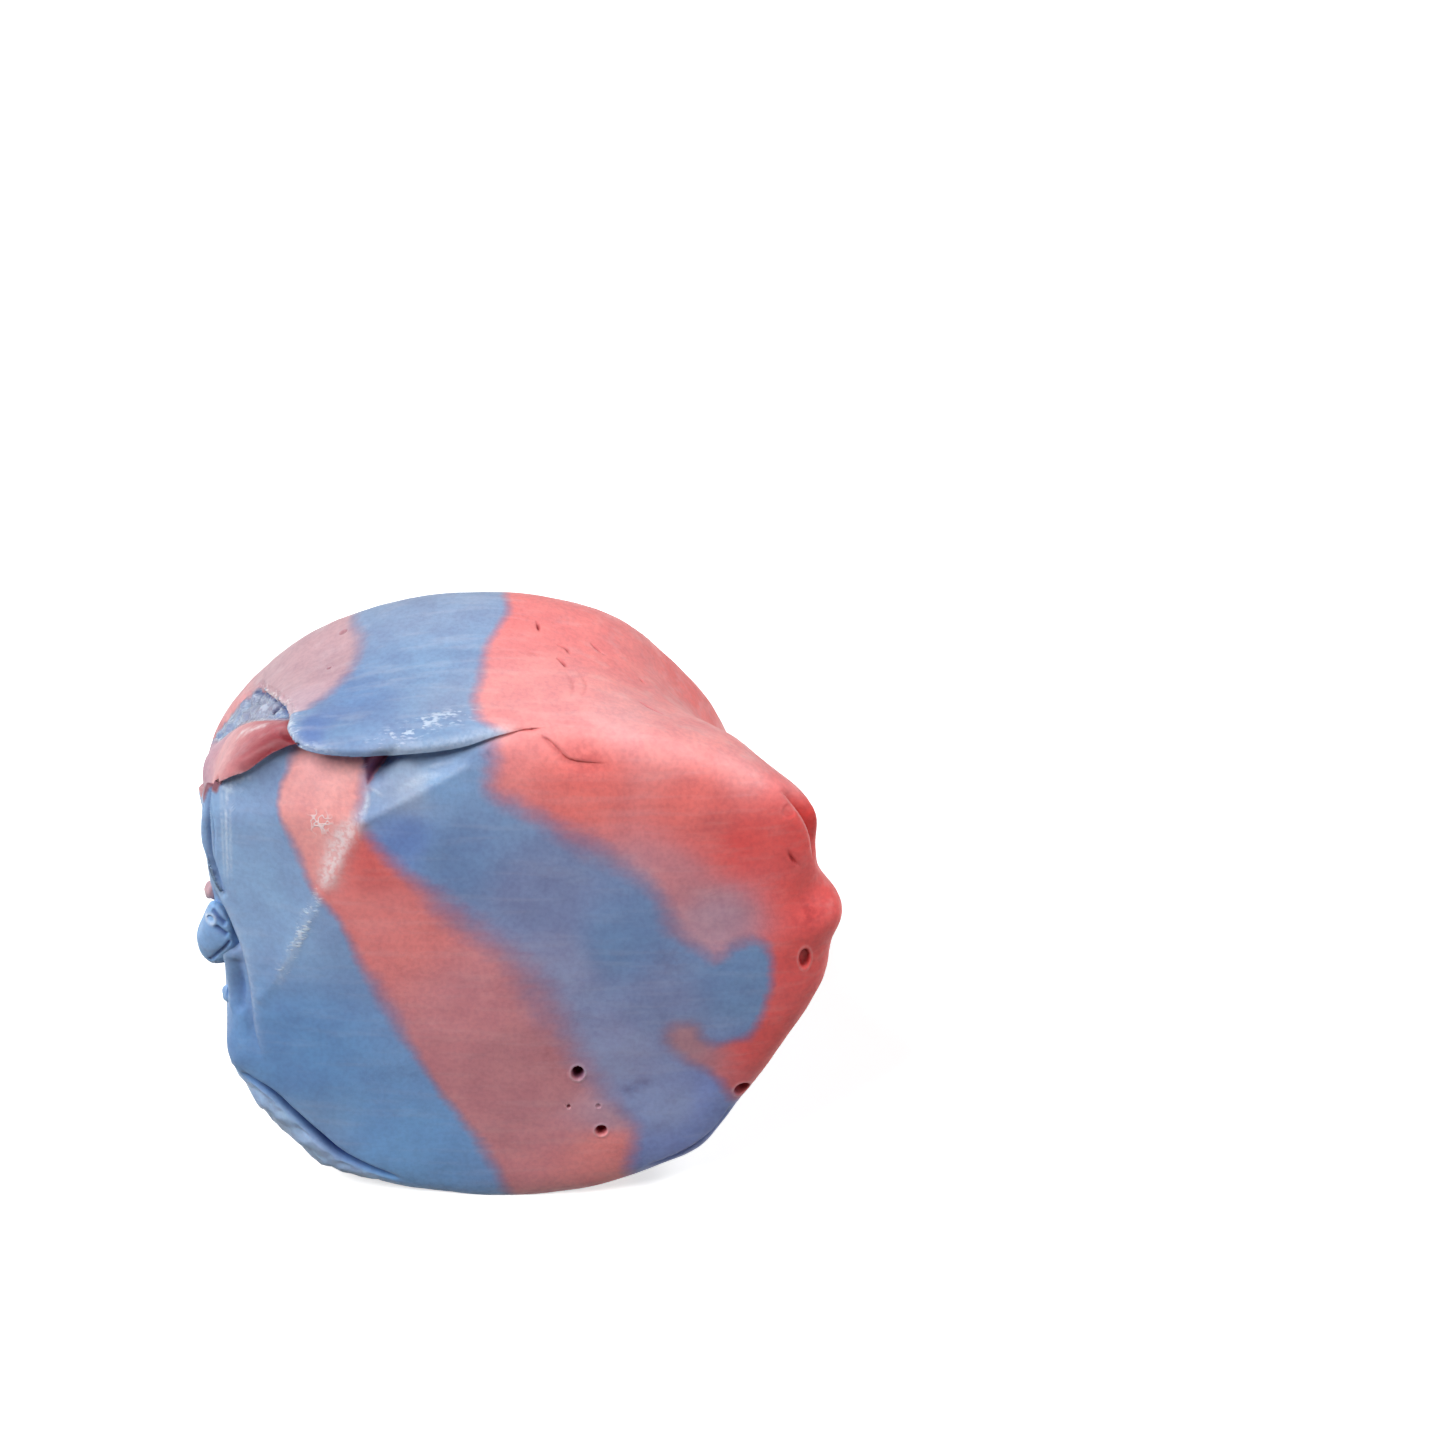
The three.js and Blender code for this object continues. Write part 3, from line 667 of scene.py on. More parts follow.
# Behind the roll the sheet is torn off with a ragged edge, which leaves a patch of blue
ragged = np.zeros(len(skin))
tear = np.flatnonzero((np.abs(from_lobe) < 0.6) & (from_patch > 0))
ragged[tear] = bumps(tear, 0.3, 2.5)
behind_roll = (from_patch > 0) & (from_lobe + ragged < 0) & (from_patch < 3.5)
patch = behind_roll & (past_patch < 0)
roll_pink = np.minimum(np.maximum(-from_patch, past_patch), ROLL_END - skin[:, 1])


def inside_shadow(near, outline):
    """How deep the skin is inside a shadow, and far outside it away from the given points."""
    depth = np.full(len(skin), -FAR_OFF)
    depth[near] = inside(shape[near][:, [0, 2]], outline)
    return depth


# Each shadow lies only on the skin close below its edge
below_tail = (np.abs(skin[:, 1] + 3.6) < 1.5) & (skin[:, 0] < -10) & (from_roll < 0)
below_lip = (from_lobe < 0) & (np.abs(skin[:, 0] + 5.3) < 1.5) & (np.abs(skin[:, 1] + 4.3) < 1)
tail_gap = inside_shadow(below_tail, TAIL_SHADOW)
in_pocket = inside_shadow(below_lip, POCKET_SHADOW)
# The painted shadows get a mauve shade: the paste under the roll's tail turns towards the coral, that in the
# pocket half blended
HALF_BLENDED = 0.1
pink_mm = np.where(roll | behind_roll, roll_pink, np.maximum(pink_mm, tail_gap))
pink_mm[in_pocket > 0] = HALF_BLENDED

# The two pastes' tones: each one's colour, and where it lies on the rope. In between they run into one
# another. The roll has tones of its own. Some tones are painted light or shade: painted sheen and highlight
# coral along the top's ridge, a band painted lighter below the lobe's lip, shaded red in the knob's hollow,
# shaded mauve in the painted shadow under the roll's tail, and the roll lighter at its upper left and darker
# at its lower right as its lit and shaded sides.
PINK_TONES = {
    "coral": ((0.95, 0.29, 0.28), [
        (4, 3, 21), (8, 1, 19), (0, 4, 21.5), (-5, -6.5, 14), (3.5, -7.8, 3), (0, 8, 11), (10, 4, 14),
        (0, 0, 0),
    ]),
    # Painted sheen along the coral ridge of the top and up to the knob
    "painted sheen coral": ((0.95, 0.38, 0.37), [
        (1.8, -1.8, 21.7), (6.5, -3.4, 21), (8.9, -3.8, 20.1), (11.4, -3.2, 19.0), (12.3, -3.6, 18.2),
    ]),
    # A painted highlight on the top's ridge
    "painted highlight coral": ((0.96, 0.45, 0.44), [(4.2, -2.8, 21.6)]),
    "red coral": ((0.95, 0.13, 0.12), [
        (10, -3, 18), (11.5, -6, 12), (11.5, -5.3, 15), (10, -6.4, 8), (9, -5.8, 17.5), (11.3, -4.5, 17.5),
    ]),
    "deep coral": ((0.95, 0.22, 0.20), [(3, -5, 20), (7, -5.2, 19)]),
    "dull rose": ((0.74, 0.29, 0.32), [(6, -6, 16), (-1.5, -7.4, 10)]),
    "violet rose": ((0.62, 0.36, 0.45), [(8, -6.5, 14), (5, -6.3, 15.5), (3.6, -7.8, 4.6)]),
    "mauve": ((0.64, 0.42, 0.46), [(-8, 2, 20.5), (-10, 5, 18), (-10.8, 3, 18.8)]),
    "light coral": ((0.97, 0.42, 0.40), [(-8, -5, 18)]),
    "band rose": ((0.64, 0.26, 0.29), [(1, -7.8, 6.5), (0, -7.7, 8)]),
    "pale mauve": ((0.66, 0.47, 0.54), [(-8.7, -1.7, 21.1)]),
    "brick red": ((0.82, 0.17, 0.16), [(7.7, -5.4, 18.5), (-5.6, -5.9, 17.0)]),
    # Painted shade: the knob's hollow is painted a deep red
    "shaded hollow red": ((0.85, 0.04, 0.03), [(11.4, -4.3, 17.5)]),
    # Painted light: the band just below the lobe's lip is painted lighter against the lobe's shade
    "band painted lighter": ((1.0, 0.48, 0.46), [(-7.8, -4.2, 19.6)]),
    "burnt rose": ((0.52, 0.27, 0.32), [(6.5, -7, 8.5)]),
    "roll pink": ((0.88, 0.42, 0.43), [(-12.4, 3.9, 16.6)]),
    "shadow mauve": ((0.42, 0.24, 0.30), [(-12.1, -3.6, 18.9)]),
    "far coral": ((0.96, 0.17, 0.16), [(7.3, 5, 17), (8.6, 1.5, 17.8)]),
}
BLUE_TONES = {
    "top blue": ((0.26, 0.40, 0.62), [(-4, 0, 22), (-8.6, -3.3, 21.3), (-8.2, -2.2, 21.2)]),
    "far blue": ((0.31, 0.42, 0.61), [(-4, 4, 22), (-2.6, -2.2, 22)]),
    "deep blue": ((0.20, 0.33, 0.58), [(-6.5, -1.5, 21.8), (-3, -6, 17), (4, -6.5, 13), (9, -6.8, 11)]),
    "lip blue": ((0.22, 0.35, 0.56), [(-3, -4, 22), (-7.0, -3.7, 21.6)]),
    "pale blue": ((0.40, 0.52, 0.70), [(-8.8, -3.0, 21.1), (-4.0, -4.9, 19.9)]),
    "spot blue": ((0.15, 0.24, 0.50), [(-7.9, -3.0, 21.5), (-7.9, -3.6, 21.5)]),
    "sky blue": ((0.25, 0.43, 0.71), [
        (-9.2, -7.2, 3.3), (-3, -5, 20), (0, 8, 11), (-12, 2, 10), (0, 0, 0),
    ]),
    "light blue": ((0.32, 0.50, 0.77), [(-10, -5, 15), (-12.2, -4, 17)]),
    "low blue": ((0.17, 0.36, 0.68), [(-9, -7, 7)]),
    "clear blue": ((0.21, 0.44, 0.80), [(-5, -7.5, 3)]),
    "corner blue": ((0.19, 0.32, 0.66), [(-4.2, -5.8, 17.6)]),
    "violet blue": ((0.25, 0.31, 0.53), [(1, -6.5, 15), (5.5, -7.3, 10)]),
    "grey violet": ((0.33, 0.37, 0.59), [(1.5, -7, 12), (4, -7.4, 8)]),
    "low violet": ((0.32, 0.39, 0.65), [(6, -7.6, 5)]),
    "strong blue": ((0.25, 0.33, 0.68), [(8, -7.2, 5), (7.5, -7.2, 3.5), (6, -7.4, 2)]),
    "patch blue": ((0.40, 0.47, 0.61), [(-10.5, 0.5, 19.2)]),
}
ROLL_TONES = {
    # Painted lighter at the roll's upper left, as its lit side
    "roll pink": ((0.88, 0.42, 0.43), [(-11.5, -2, 18.5)]),
    # Painted darker at the roll's lower right, as its shaded side
    "shaded roll rose": ((0.60, 0.21, 0.23), [(-9.7, -3, 20.5)]),
    "violet rose": ((0.62, 0.36, 0.45), [(-13, 1, 15)]),
}

# How wide the colours blend into one another at their edges, and where
EDGE_SOFTNESS = [
    (0.06, [(-12, -3.6, 18.6)]),
    (0.15, [(-10.5, 0.5, 19), (-11.5, 2, 17)]),
    (0.25, [(-8, -6, 14)]),
    (0.3, [(-3, -8, 6), (10, -6.5, 11), (-1, 4, 21.6)]),
    (0.4, [(8, -7.3, 5), (7, -7.3, 8.5), (-1.5, -1, 22)]),
    (0.5, [(-1, -8, 2), (-5, -6, 17), (5, -7.8, 4), (8, -6.7, 12.5), (-6.8, 1, 21)]),
    (0.7, [(0, -5.5, 19.3), (5.7, -6.4, 14.9)]),
    (0.8, [(0, 8, 11), (0, 0, 0)]),
    (0.9, [(3, -6, 17.3)]),
    (1.2, [(-2, -6.5, 14), (2.5, -7.5, 8)]),
    (1.5, [(1, -7, 11)]),
]

SPREAD_CORE = 0.3
SPREAD_POWER = 4


def spread(given):
    """Spreads values smoothly over the whole skin, each from the places it is given at."""
    places = np.array([place for _, spots in given for place in spots])
    values = np.array([value for value, spots in given for _ in spots]).reshape(len(places), -1)
    far = np.linalg.norm(skin[:, None] - places, axis=2)
    weight = 1 / (far + SPREAD_CORE)**SPREAD_POWER
    return (weight @ values) / weight.sum(axis=1)[:, None]


def trace(path, width, strength=1.0):
    """How strongly the skin carries a drawn mark, from 0 away from its path to the strength on it."""
    index, _, _, _, distance, share = path.near(skin, 2.5 * width)
    carried = np.zeros(len(skin))
    carried[index] = strength * share * np.exp(-(distance / width)**2)
    return carried


def spot(place, radius, strength=1.0):
    """The same for a round mark about a place."""
    far = np.linalg.norm(skin - np.array(place), axis=1) / radius
    return strength * np.exp(-far**2)


# Pale wax where the skin was stretched over a ridge or rubbed, and painted highlights and glints along
# ridges,
# rims and edges, which share its marks: smooth bands and lines, scuffs, and worm-like crumbs
RUBBED_RIDGE_AND_SHEEN = SkinPath(
    (-6.2, -5.3, 18.5, 0.5), (-6.9, -5.5, 17.6, 1), (-7.6, -5.9, 15.8, 0.8), (-7.9, -5.9, 15.2, 0),
)
RIDGE_TOP = SkinPath((-5.9, -4.7, 19.7, 0.3), (-5.9, -5.1, 19.1, 1), (-6.3, -5.6, 18.2, 0.6))
ROLL_GLINT = SkinPath(
    (-11.2, -1.8, 19.6, 0), (-11.0, -1.9, 20.0, 1), (-10.5, -2.1, 20.3, 1), (-10.0, -2.2, 20.6, 0.8),
    (-9.7, -2.2, 20.7, 0),
)
TICK = SkinPath((-6.0, -4.6, 19.7, 0), (-5.6, -4.8, 19.6, 1), (-5.1, -5.0, 19.4, 0))
FACE_CORNER = SkinPath((-11.4, -4.3, 18.9, 1), (-10.6, -4.3, 19.15, 0.7), (-9.9, -4.3, 19.2, 0))
FACE_GLINT = (-11.4, -3.9, 18.8)
FACET_STREAK = SkinPath((-5.0, -5.0, 19.5, 0), (-3.7, -4.9, 20.2, 1), (-2.3, -4.9, 20.6, 0))
SECOND_STREAK = SkinPath((-4.2, -4.8, 20.2, 0), (-3.2, -4.6, 20.6, 1), (-1.8, -4.5, 20.9, 0))
SPECKLED_RIDGE = SkinPath(
    (-7.9, -5.9, 15.3, 0.7), (-8.7, -6.3, 13.2, 1), (-9.6, -6.6, 11.1, 1), (-9.8, -6.6, 10.6, 0),
)
LIP_SCUFFS_AND_GLINTS = SkinPath(
    (-6.4, -4.2, 21.7, 0), (-5.0, -4.1, 21.8, 0.8), (-3.4, -3.4, 22.0, 1), (-2.0, -3.1, 22.0, 0.8),
    (-1.0, -3.4, 21.9, 0),
)
LOBE_RIM = SkinPath(
    (-11.0, 3.2, 18.0, 0.8), (-10.4, 2.0, 18.9, 1), (-9.4, -0.4, 20.2, 1), (-8.9, -2.2, 21.0, 1),
    (-8.8, -3.3, 21.2, 1), (-8.3, -4.0, 21.2, 0.6), (-7.5, -4.3, 21.2, 0.3), (-6.0, -4.4, 21.2, 0),
)
LIP_RIM = SkinPath(
    (-6.4, -4.3, 21.2, 0), (-4.4, -4.3, 21.3, 0.7), (-2.1, -4.1, 21.5, 0.8), (-0.5, -3.9, 21.8, 1),
    (0.3, -3.7, 21.9, 0),
)

# Three fine rims catch the light along the leaf, each given by its x at the top and the foot and its strength
LEAF_TOP = 18.8
LEAF_FOOT = 15.5
LEAF_RIMS = [(-11.7, -11.7, 0.5), (-11.5, -11.57, 0.9), (-11.32, -11.42, 0.6)]
leaf_rims = np.zeros(len(skin))
for top_x, foot_x, strength in LEAF_RIMS:
    line_x = np.interp(shape[:, 2], (LEAF_FOOT, LEAF_TOP), (foot_x, top_x))
    leaf_rims = np.maximum(leaf_rims, strength * ring(shape[:, 0], line_x, 0.05))
leaf_rims *= (outward[:, 1] < -0.3) * smoothstep(shape[:, 2], 14.6, 16)
leaf_rims *= smoothstep(-shape[:, 2], -LEAF_TOP, 0.2 - LEAF_TOP)
glint = ring(np.linalg.norm(shape - FACE_GLINT, axis=1), 0, 0.14)
below_crevice = -signed(FLAP_EDGE, 4)
on_flap = smoothstep(below_crevice, 0.1, 0.4) * smoothstep(-below_crevice, -3.6, -1.6)
on_flap *= smoothstep(-skin[:, 0], 5, 6.5)
wax_and_highlights = np.maximum.reduce([
    trace(RUBBED_RIDGE_AND_SHEEN, 0.42, 1.3), trace(ROLL_GLINT, 0.14, 1.2), trace(RIDGE_TOP, 0.12),
    trace(TICK, 0.07, 0.7), trace(LIP_RIM, 0.3, 0.6), trace(FACE_CORNER, 0.07, 0.9),
    trace(FACET_STREAK, 0.18, 0.7), trace(SECOND_STREAK, 0.1, 0.4), trace(FACE_EDGE, 0.28, 0.45),
    trace(LOBE_RIM, 0.2, 0.9) * (from_lobe > 0), trace(KNOB_EDGE, 0.1, 0.4), trace(LAYER_EDGE, 0.1, 0.4),
    trace(BURR, 0.08, 0.5), trace(UPPER_RIDGE, 0.12, 0.25), 0.12 * on_flap, leaf_rims, glint,
    trace(SPECKLED_RIDGE, 0.16, 0.4),
])
# Scuffs and painted glints: speckled highlights along the lower ridge and the lobe's lip, and over the torn
# patch and its rim
scuffs_and_glints = np.maximum.reduce([
    trace(SPECKLED_RIDGE, 0.25, 1.3), trace(LIP_SCUFFS_AND_GLINTS, 0.45), trace(PATCH_EDGE, 0.2, 0.8),
    trace(LOBE_RIM, 0.4, 1.2) * (from_lobe > 0),
    0.45 * patch,
])
crumbs = spot((-7.8, -5.0, 18.1), 0.75)

# Crevices and burst bubbles hold no light, so they and a few hollows are painted dark or deeper coloured as
# shade;
# a few smudges and streaks are the paste's own deeper colour
SMUDGE = SkinPath((3.8, -7.7, 5.6, 0), (4.4, -7.7, 5.9, 1), (5.0, -7.7, 6.2, 0.6), (5.4, -7.7, 6.3, 0))
STREAKED_BAND = SkinPath((1.0, -7.4, 8.5, 0), (1.1, -7.6, 7.5, 1), (1.4, -7.7, 6.2, 0))
# Stains and painted shade: the smudge, the streaked band, the valley below the knob and a blotch are the
# paste's own
# crease are painted deeper as shade
# deeper colour; the knob's hollow, the hollow under the crescent, the hollow beside the middle ridge and the
# crescent's
stains_and_shade = np.maximum.reduce([
    trace(SMUDGE, 0.3, 0.7), trace(STREAKED_BAND, 0.25, 0.4),
    spot((11.6, -5.7, 13.8), 0.7, 0.9), spot((11.9, -4.1, 17.2), 0.5, 0.7), spot((3.0, -4.4, 20.8), 0.7, 0.8),
    spot((6.0, -6.8, 12.2), 0.8, 0.5), spot((-6.6, -4.7, 19.3), 0.5, 0.8),
    trace(LIP_CRESCENT, 0.15, 0.5), 0.3 * patch,
])
# The roll's lower right, along its lip, is painted darker as the shade under it
roll_underside_shade = ring(from_roll, 0, 0.9) * roll * smoothstep(skin[:, 0], -11.6, -9.5)
# Painted shade: crevices at the flap, lips, leaf, layer, nub's gap, burr and cracks, the painted shadows
# under the
# roll's tail and in the pocket, and the roll's shaded underside; the smudge is the paste's own
painted_shade_and_smudge = np.maximum.reduce([
    trace(FLAP_EDGE, 0.15, 1.4) * (signed(FLAP_EDGE, 1) < 0.03), 0.95 * smoothstep(in_pocket, -0.06, 0.12),
    trace(ROLL_LIP, 0.07, 0.9) * (from_roll < 0), roll_underside_shade, trace(LOBE_LIP, 0.45, 0.9) * roll,
    trace(LOBE_RIM, 0.12, 0.8) * patch, trace(LEAF_GROOVE, 0.14, 0.7), spot((11.85, -4.3, 17.3), 0.4, 0.15),
    trace(LAYER_HOLLOW, 0.22, 0.45), trace(SMUDGE, 0.2, 0.3),
    trace(FACE_EDGE, 0.07, 0.3), trace(NUB_GAP, 0.16, 0.9), 0.55 * smoothstep(tail_gap, -0.03, 0.05),
    trace(BURR, 0.12, 0.9) * (signed(BURR, 0.5) < 0), trace(LOBE_LIP, 0.07, 1.1) * (from_lobe < 0),
] + [trace(crack, 0.08, 0.9) for crack in CRACKS] + [trace(wrinkle, 0.07, 0.3) for wrinkle in WRINKLES])
# Burst bubbles are painted dark inside as shade, and their raised rims get a pale ring of wax and painted
# highlight
for pit in BUBBLE_PITS:
    _, _, _, depth = pit
    far = from_pit(skin, pit)
    deep = min(1, depth / DARKEST_DEPTH)
    painted_shade_and_smudge = np.maximum(painted_shade_and_smudge, deep * (1 - smoothstep(far, 0.75, 1.0)))
    wax_and_highlights = np.maximum(wax_and_highlights, 0.25 * deep * ring(far, 1.2, 0.15))


def store(piece, name, values):
    """Stores a value or a colour on each of a piece's points, for its material to read."""
    values = np.broadcast_to(values, (len(piece.data.vertices),) + np.shape(values)[1:])
    if values.ndim == 1:
        piece.data.attributes.new(name, "FLOAT", "POINT").data.foreach_set("value", values.astype(np.float32))
    else:
        colours = np.column_stack([values, np.ones(len(values))])
        piece.data.attributes.new(name, "FLOAT_COLOR", "POINT").data.foreach_set("color", colours.ravel())


# The flap's frosted skin turns this far from the paste's own blue to a pale one: partly its frost, and partly
# painted light on its down-turned face
FLAP_FROST_AND_LIGHT_SHARE = 0.9
FLAP_FROST_AND_LIGHT_BLUE = np.array([0.46, 0.67, 0.98])
store(rope, "pink_mm", pink_mm)
store(rope, "softness", spread(EDGE_SOFTNESS)[:, 0])
store(rope, "pink_tone", np.where(roll[:, None], spread(ROLL_TONES.values()), spread(PINK_TONES.values())))
blue_tone = spread(BLUE_TONES.values())
blue_tone += FLAP_FROST_AND_LIGHT_SHARE * on_flap[:, None] * (FLAP_FROST_AND_LIGHT_BLUE - blue_tone)
store(rope, "blue_tone", blue_tone)
store(rope, "wax_and_highlights", np.clip(wax_and_highlights, 0, 1))
store(rope, "scuffs_and_glints", np.clip(scuffs_and_glints, 0, 1))
store(rope, "crumbs", crumbs)
store(rope, "stains_and_shade", np.clip(stains_and_shade, 0, 1))
store(rope, "painted_shade_and_smudge", np.clip(painted_shade_and_smudge, 0, 1))
store(rope, "rough", 1.0 * patch)
store(rope, "sheet", sheet)

# The material mixes the two pastes by how far each point is inside the coral, then clouds, stains and frosts
# them, paints highlights and sheen on them, and darkens them with painted shade. The tints are what each
# effect multiplies or mixes the paste's colour with.
HALF_MIXED_TINT = (0.84, 0.84, 0.88)
CLOUD_TINT = (0.91, 0.88, 0.91)
GRAIN_TINT = (0.9, 0.88, 0.91)
STREAK_AND_SHEEN_COLOUR = (0.9, 0.85, 0.88)
STAIN_AND_SHADE_TINT = (0.72, 0.55, 0.6)
BLUE_BLOOM_AND_HIGHLIGHT = (0.78, 0.88, 1.0)
PINK_BLOOM_AND_HIGHLIGHT = (0.97, 0.9, 0.92)
BLUE_SHADE = (0.07, 0.12, 0.36)
PINK_SHADE = (0.44, 0.12, 0.16)
BLOOM_AND_HIGHLIGHT_SHARE = 0.7
BUMP_HEIGHT = 0.05
marbled = bpy.data.materials.new("marbled_taffy")
marbled.use_nodes = True
nodes = marbled.node_tree.nodes
links = marbled.node_tree.links
shader = nodes["Principled BSDF"]


def feed(node, inputs):
    """Sets a node's inputs, each to a value or to another node's output."""
    for name, value in inputs.items():
        if isinstance(value, bpy.types.NodeSocket):
            links.new(value, node.inputs[name])
        else:
            node.inputs[name].default_value = value
    return node


def noise_at(scale, detail=3, stretch=(1, 1, 1), offset=0):
    """Noise with its features a given number to the millimetre."""
    mapping = feed(nodes.new("ShaderNodeMapping"), {
        "Vector": places_on_rope, "Scale": [way * scale / MM for way in stretch], "Location": (offset, 0, 0),
    })
    texture = nodes.new("ShaderNodeTexNoise")
    feed(texture, {"Vector": mapping.outputs[0], "Scale": 1, "Detail": detail})
    return texture.outputs["Fac"]


def math_node(operation, *values):
    """A sum, product or the like of values or other nodes' outputs."""
    node = nodes.new("ShaderNodeMath")
    node.operation = operation
    return feed(node, dict(enumerate(values))).outputs[0]


def ramp(value, low, high, start=0.0, end=1.0):
    """Runs smoothly from start to end while a value runs from low to high."""
    node = nodes.new("ShaderNodeMapRange")
    node.interpolation_type = "SMOOTHSTEP"
    return feed(node, {
        "Value": value, "From Min": low, "From Max": high, "To Min": start, "To Max": end,
    }).outputs["Result"]


def mix(factor, first, second, blend="MIX"):
    """Mixes two colours, each given or from another node."""
    node = nodes.new("ShaderNodeMix")
    node.data_type = "RGBA"
    node.blend_type = blend
    feed(node, {"Factor": factor})
    for socket, value in ((6, first), (7, second)):
        if isinstance(value, bpy.types.NodeSocket):
            links.new(value, node.inputs[socket])
        else:
            node.inputs[socket].default_value = (*value, 1)
    return node.outputs[2]


def stored(name, output="Fac"):
    """Reads what is stored on the piece's points."""
    node = nodes.new("ShaderNodeAttribute")
    node.attribute_name = name
    return node.outputs[output]


places_on_rope = nodes.new("ShaderNodeTexCoord").outputs["Object"]
softness = stored("softness")
slow = math_node("SUBTRACT", noise_at(0.4, detail=2), 0.5)
fibres = math_node("SUBTRACT", noise_at(3.5, stretch=(0.5, 1, 1)), 0.5)
wander = math_node("MULTIPLY_ADD", slow, math_node("MULTIPLY_ADD", softness, 0.8, 0.2), stored("pink_mm"))
wander = math_node("MULTIPLY_ADD", fibres, math_node("MULTIPLY_ADD", softness, 0.5, 0.1), wander)
pinkness = ramp(math_node("DIVIDE", wander, softness), -1, 1)
paste = mix(pinkness, stored("blue_tone", "Color"), stored("pink_tone", "Color"))
half_mixed = math_node("MULTIPLY", pinkness, math_node("SUBTRACT", 4, math_node("MULTIPLY", pinkness, 4)))
paste = mix(half_mixed, paste, mix(1.0, paste, HALF_MIXED_TINT, "MULTIPLY"))

cloudy = ramp(noise_at(0.7, offset=5), 0.35, 0.65)
paste = mix(cloudy, mix(1.0, paste, CLOUD_TINT, "MULTIPLY"), paste)
grain = ramp(noise_at(5.0, detail=4, offset=6), 0.3, 0.65)
paste = mix(grain, mix(1.0, paste, GRAIN_TINT, "MULTIPLY"), paste)
# Fine pale streaks, stronger over the sheet: partly the pulled paste's own streaks and partly painted sheen
streaks_and_sheen = ramp(noise_at(2.0, detail=4, stretch=(0.15, 1, 1.3), offset=11), 0.48, 0.72)
streaks_and_sheen = math_node("MULTIPLY", streaks_and_sheen, math_node("MULTIPLY_ADD", stored("sheet"), 0.05, 0.05))
paste = mix(streaks_and_sheen, paste, STREAK_AND_SHEEN_COLOUR)
stain_and_shade = math_node("MULTIPLY", stored("stains_and_shade"), ramp(noise_at(3.0, offset=2), 0.3, 0.6))
paste = mix(stain_and_shade, paste, mix(1.0, paste, STAIN_AND_SHADE_TINT, "MULTIPLY"))

# Pale wax, scuffs and crumbs, with the painted highlights and glints that share their marks, mix the paste
# towards pale
waxed_and_highlit = math_node("MULTIPLY", stored("wax_and_highlights"), ramp(noise_at(5.0, detail=3, offset=7), 0.35, 0.6, 0.5, 1.0))
flakes = math_node("ADD", noise_at(9.0, detail=6, stretch=(0.4, 1, 1)), noise_at(1.6, detail=2, offset=8))
scuffed_and_glinting = math_node("MULTIPLY", ramp(stored("scuffs_and_glints"), 0, 0.8), ramp(flakes, 1.02, 1.2, 0, 0.8))
worms = math_node("ABSOLUTE", math_node("SUBTRACT", noise_at(2.8, detail=1, offset=3), 0.5))
crumbed = math_node("MULTIPLY", ramp(stored("crumbs"), 0.2, 0.5), ramp(worms, 0.06, 0.02))
pale = math_node("MINIMUM", math_node("ADD", math_node("ADD", waxed_and_highlit, scuffed_and_glinting), crumbed), 1)
bloom_and_highlight = mix(pinkness, BLUE_BLOOM_AND_HIGHLIGHT, PINK_BLOOM_AND_HIGHLIGHT)
paste = mix(math_node("MULTIPLY", pale, BLOOM_AND_HIGHLIGHT_SHARE), paste, bloom_and_highlight)
# Painted shade darkens the paste towards deep blue or deep red in crevices, pockets, burst bubbles and under
# the lips
shade = mix(pinkness, BLUE_SHADE, PINK_SHADE)
paste = mix(stored("painted_shade_and_smudge"), paste, mix(1.0, paste, shade, "MULTIPLY"))

height = math_node("MULTIPLY_ADD", noise_at(8.0, detail=3, offset=6), 0.5, noise_at(1.4))
height = math_node("MULTIPLY_ADD", pale, 0.8, height)
height = math_node("MULTIPLY_ADD", math_node("MULTIPLY", stored("rough"), noise_at(3.0, detail=3)), 5, height)
relief = feed(nodes.new("ShaderNodeBump"), {"Strength": 0.5, "Distance": BUMP_HEIGHT * MM, "Height": height})
shine = math_node("MULTIPLY_ADD", stored("rough"), -0.25, ramp(noise_at(1.2, offset=4), 0.3, 0.7, 0.42, 0.55))
feed(shader, {
    "Base Color": paste, "Normal": relief.outputs["Normal"], "Roughness": shine,
    "Specular IOR Level": 0.25, "Subsurface Weight": 0.2, "Subsurface Radius": (1.0, 0.5, 0.45),
    "Subsurface Scale": 0.6 * MM,
})

rope.data.materials.append(marbled)
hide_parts("taffy")
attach(rope, "root")

# The stray lumps
# Bits of paste squeezed out at the left when the rope was cut, which stuck to its side: one broad blue nub
# with a burst bubble and three creases on it, and two crumbs, one mauve and one blue.
NUB_OUTLINE = [
    (-12.3, 13.8), (-12.7, 13.1), (-13.0, 12.0), (-12.95, 11.3), (-12.5, 10.65), (-11.65, 10.9),
    (-11.25, 11.85), (-11.45, 12.85), (-11.85, 13.6),
]
NUB_BLUE = (0.30, 0.54, 0.88)
NUB_MIDDLE = np.array([-12.1, -5.15, 12.15])
NUB_HALF_DEPTH = 0.7
NUB_BUBBLE = (-12.35, 13.3)
NUB_CREASES = [
    ((-12.5, 11.2), (-11.7, 12.2)), ((-12.1, 13.0), (-11.75, 12.6)), ((-12.2, 13.6), (-11.8, 13.1)),
]
NUB_DENT = 0.12
CREASE_WIDTH = 0.09
CREASE_DARKNESS = 0.72
CRUMBS = {
    "mauve_crumb": ((-12.35, -4.5, 13.9), (0.3, 0.35, 0.4)),
    "low_crumb": ((-11.9, -5.6, 9.3), (0.22, 0.3, 0.4)),
}
LUMP_SOFTNESS = 0.3
WELL_INSIDE = 2.0
bpy.ops.object.select_all(action="DESELECT")
bpy.ops.mesh.primitive_ico_sphere_add(subdivisions=6, radius=1)
nub = bpy.context.object
nub.name = "nub"
ball = np.empty(len(nub.data.vertices) * 3)
nub.data.vertices.foreach_get("co", ball)
ball = ball.reshape(-1, 3)
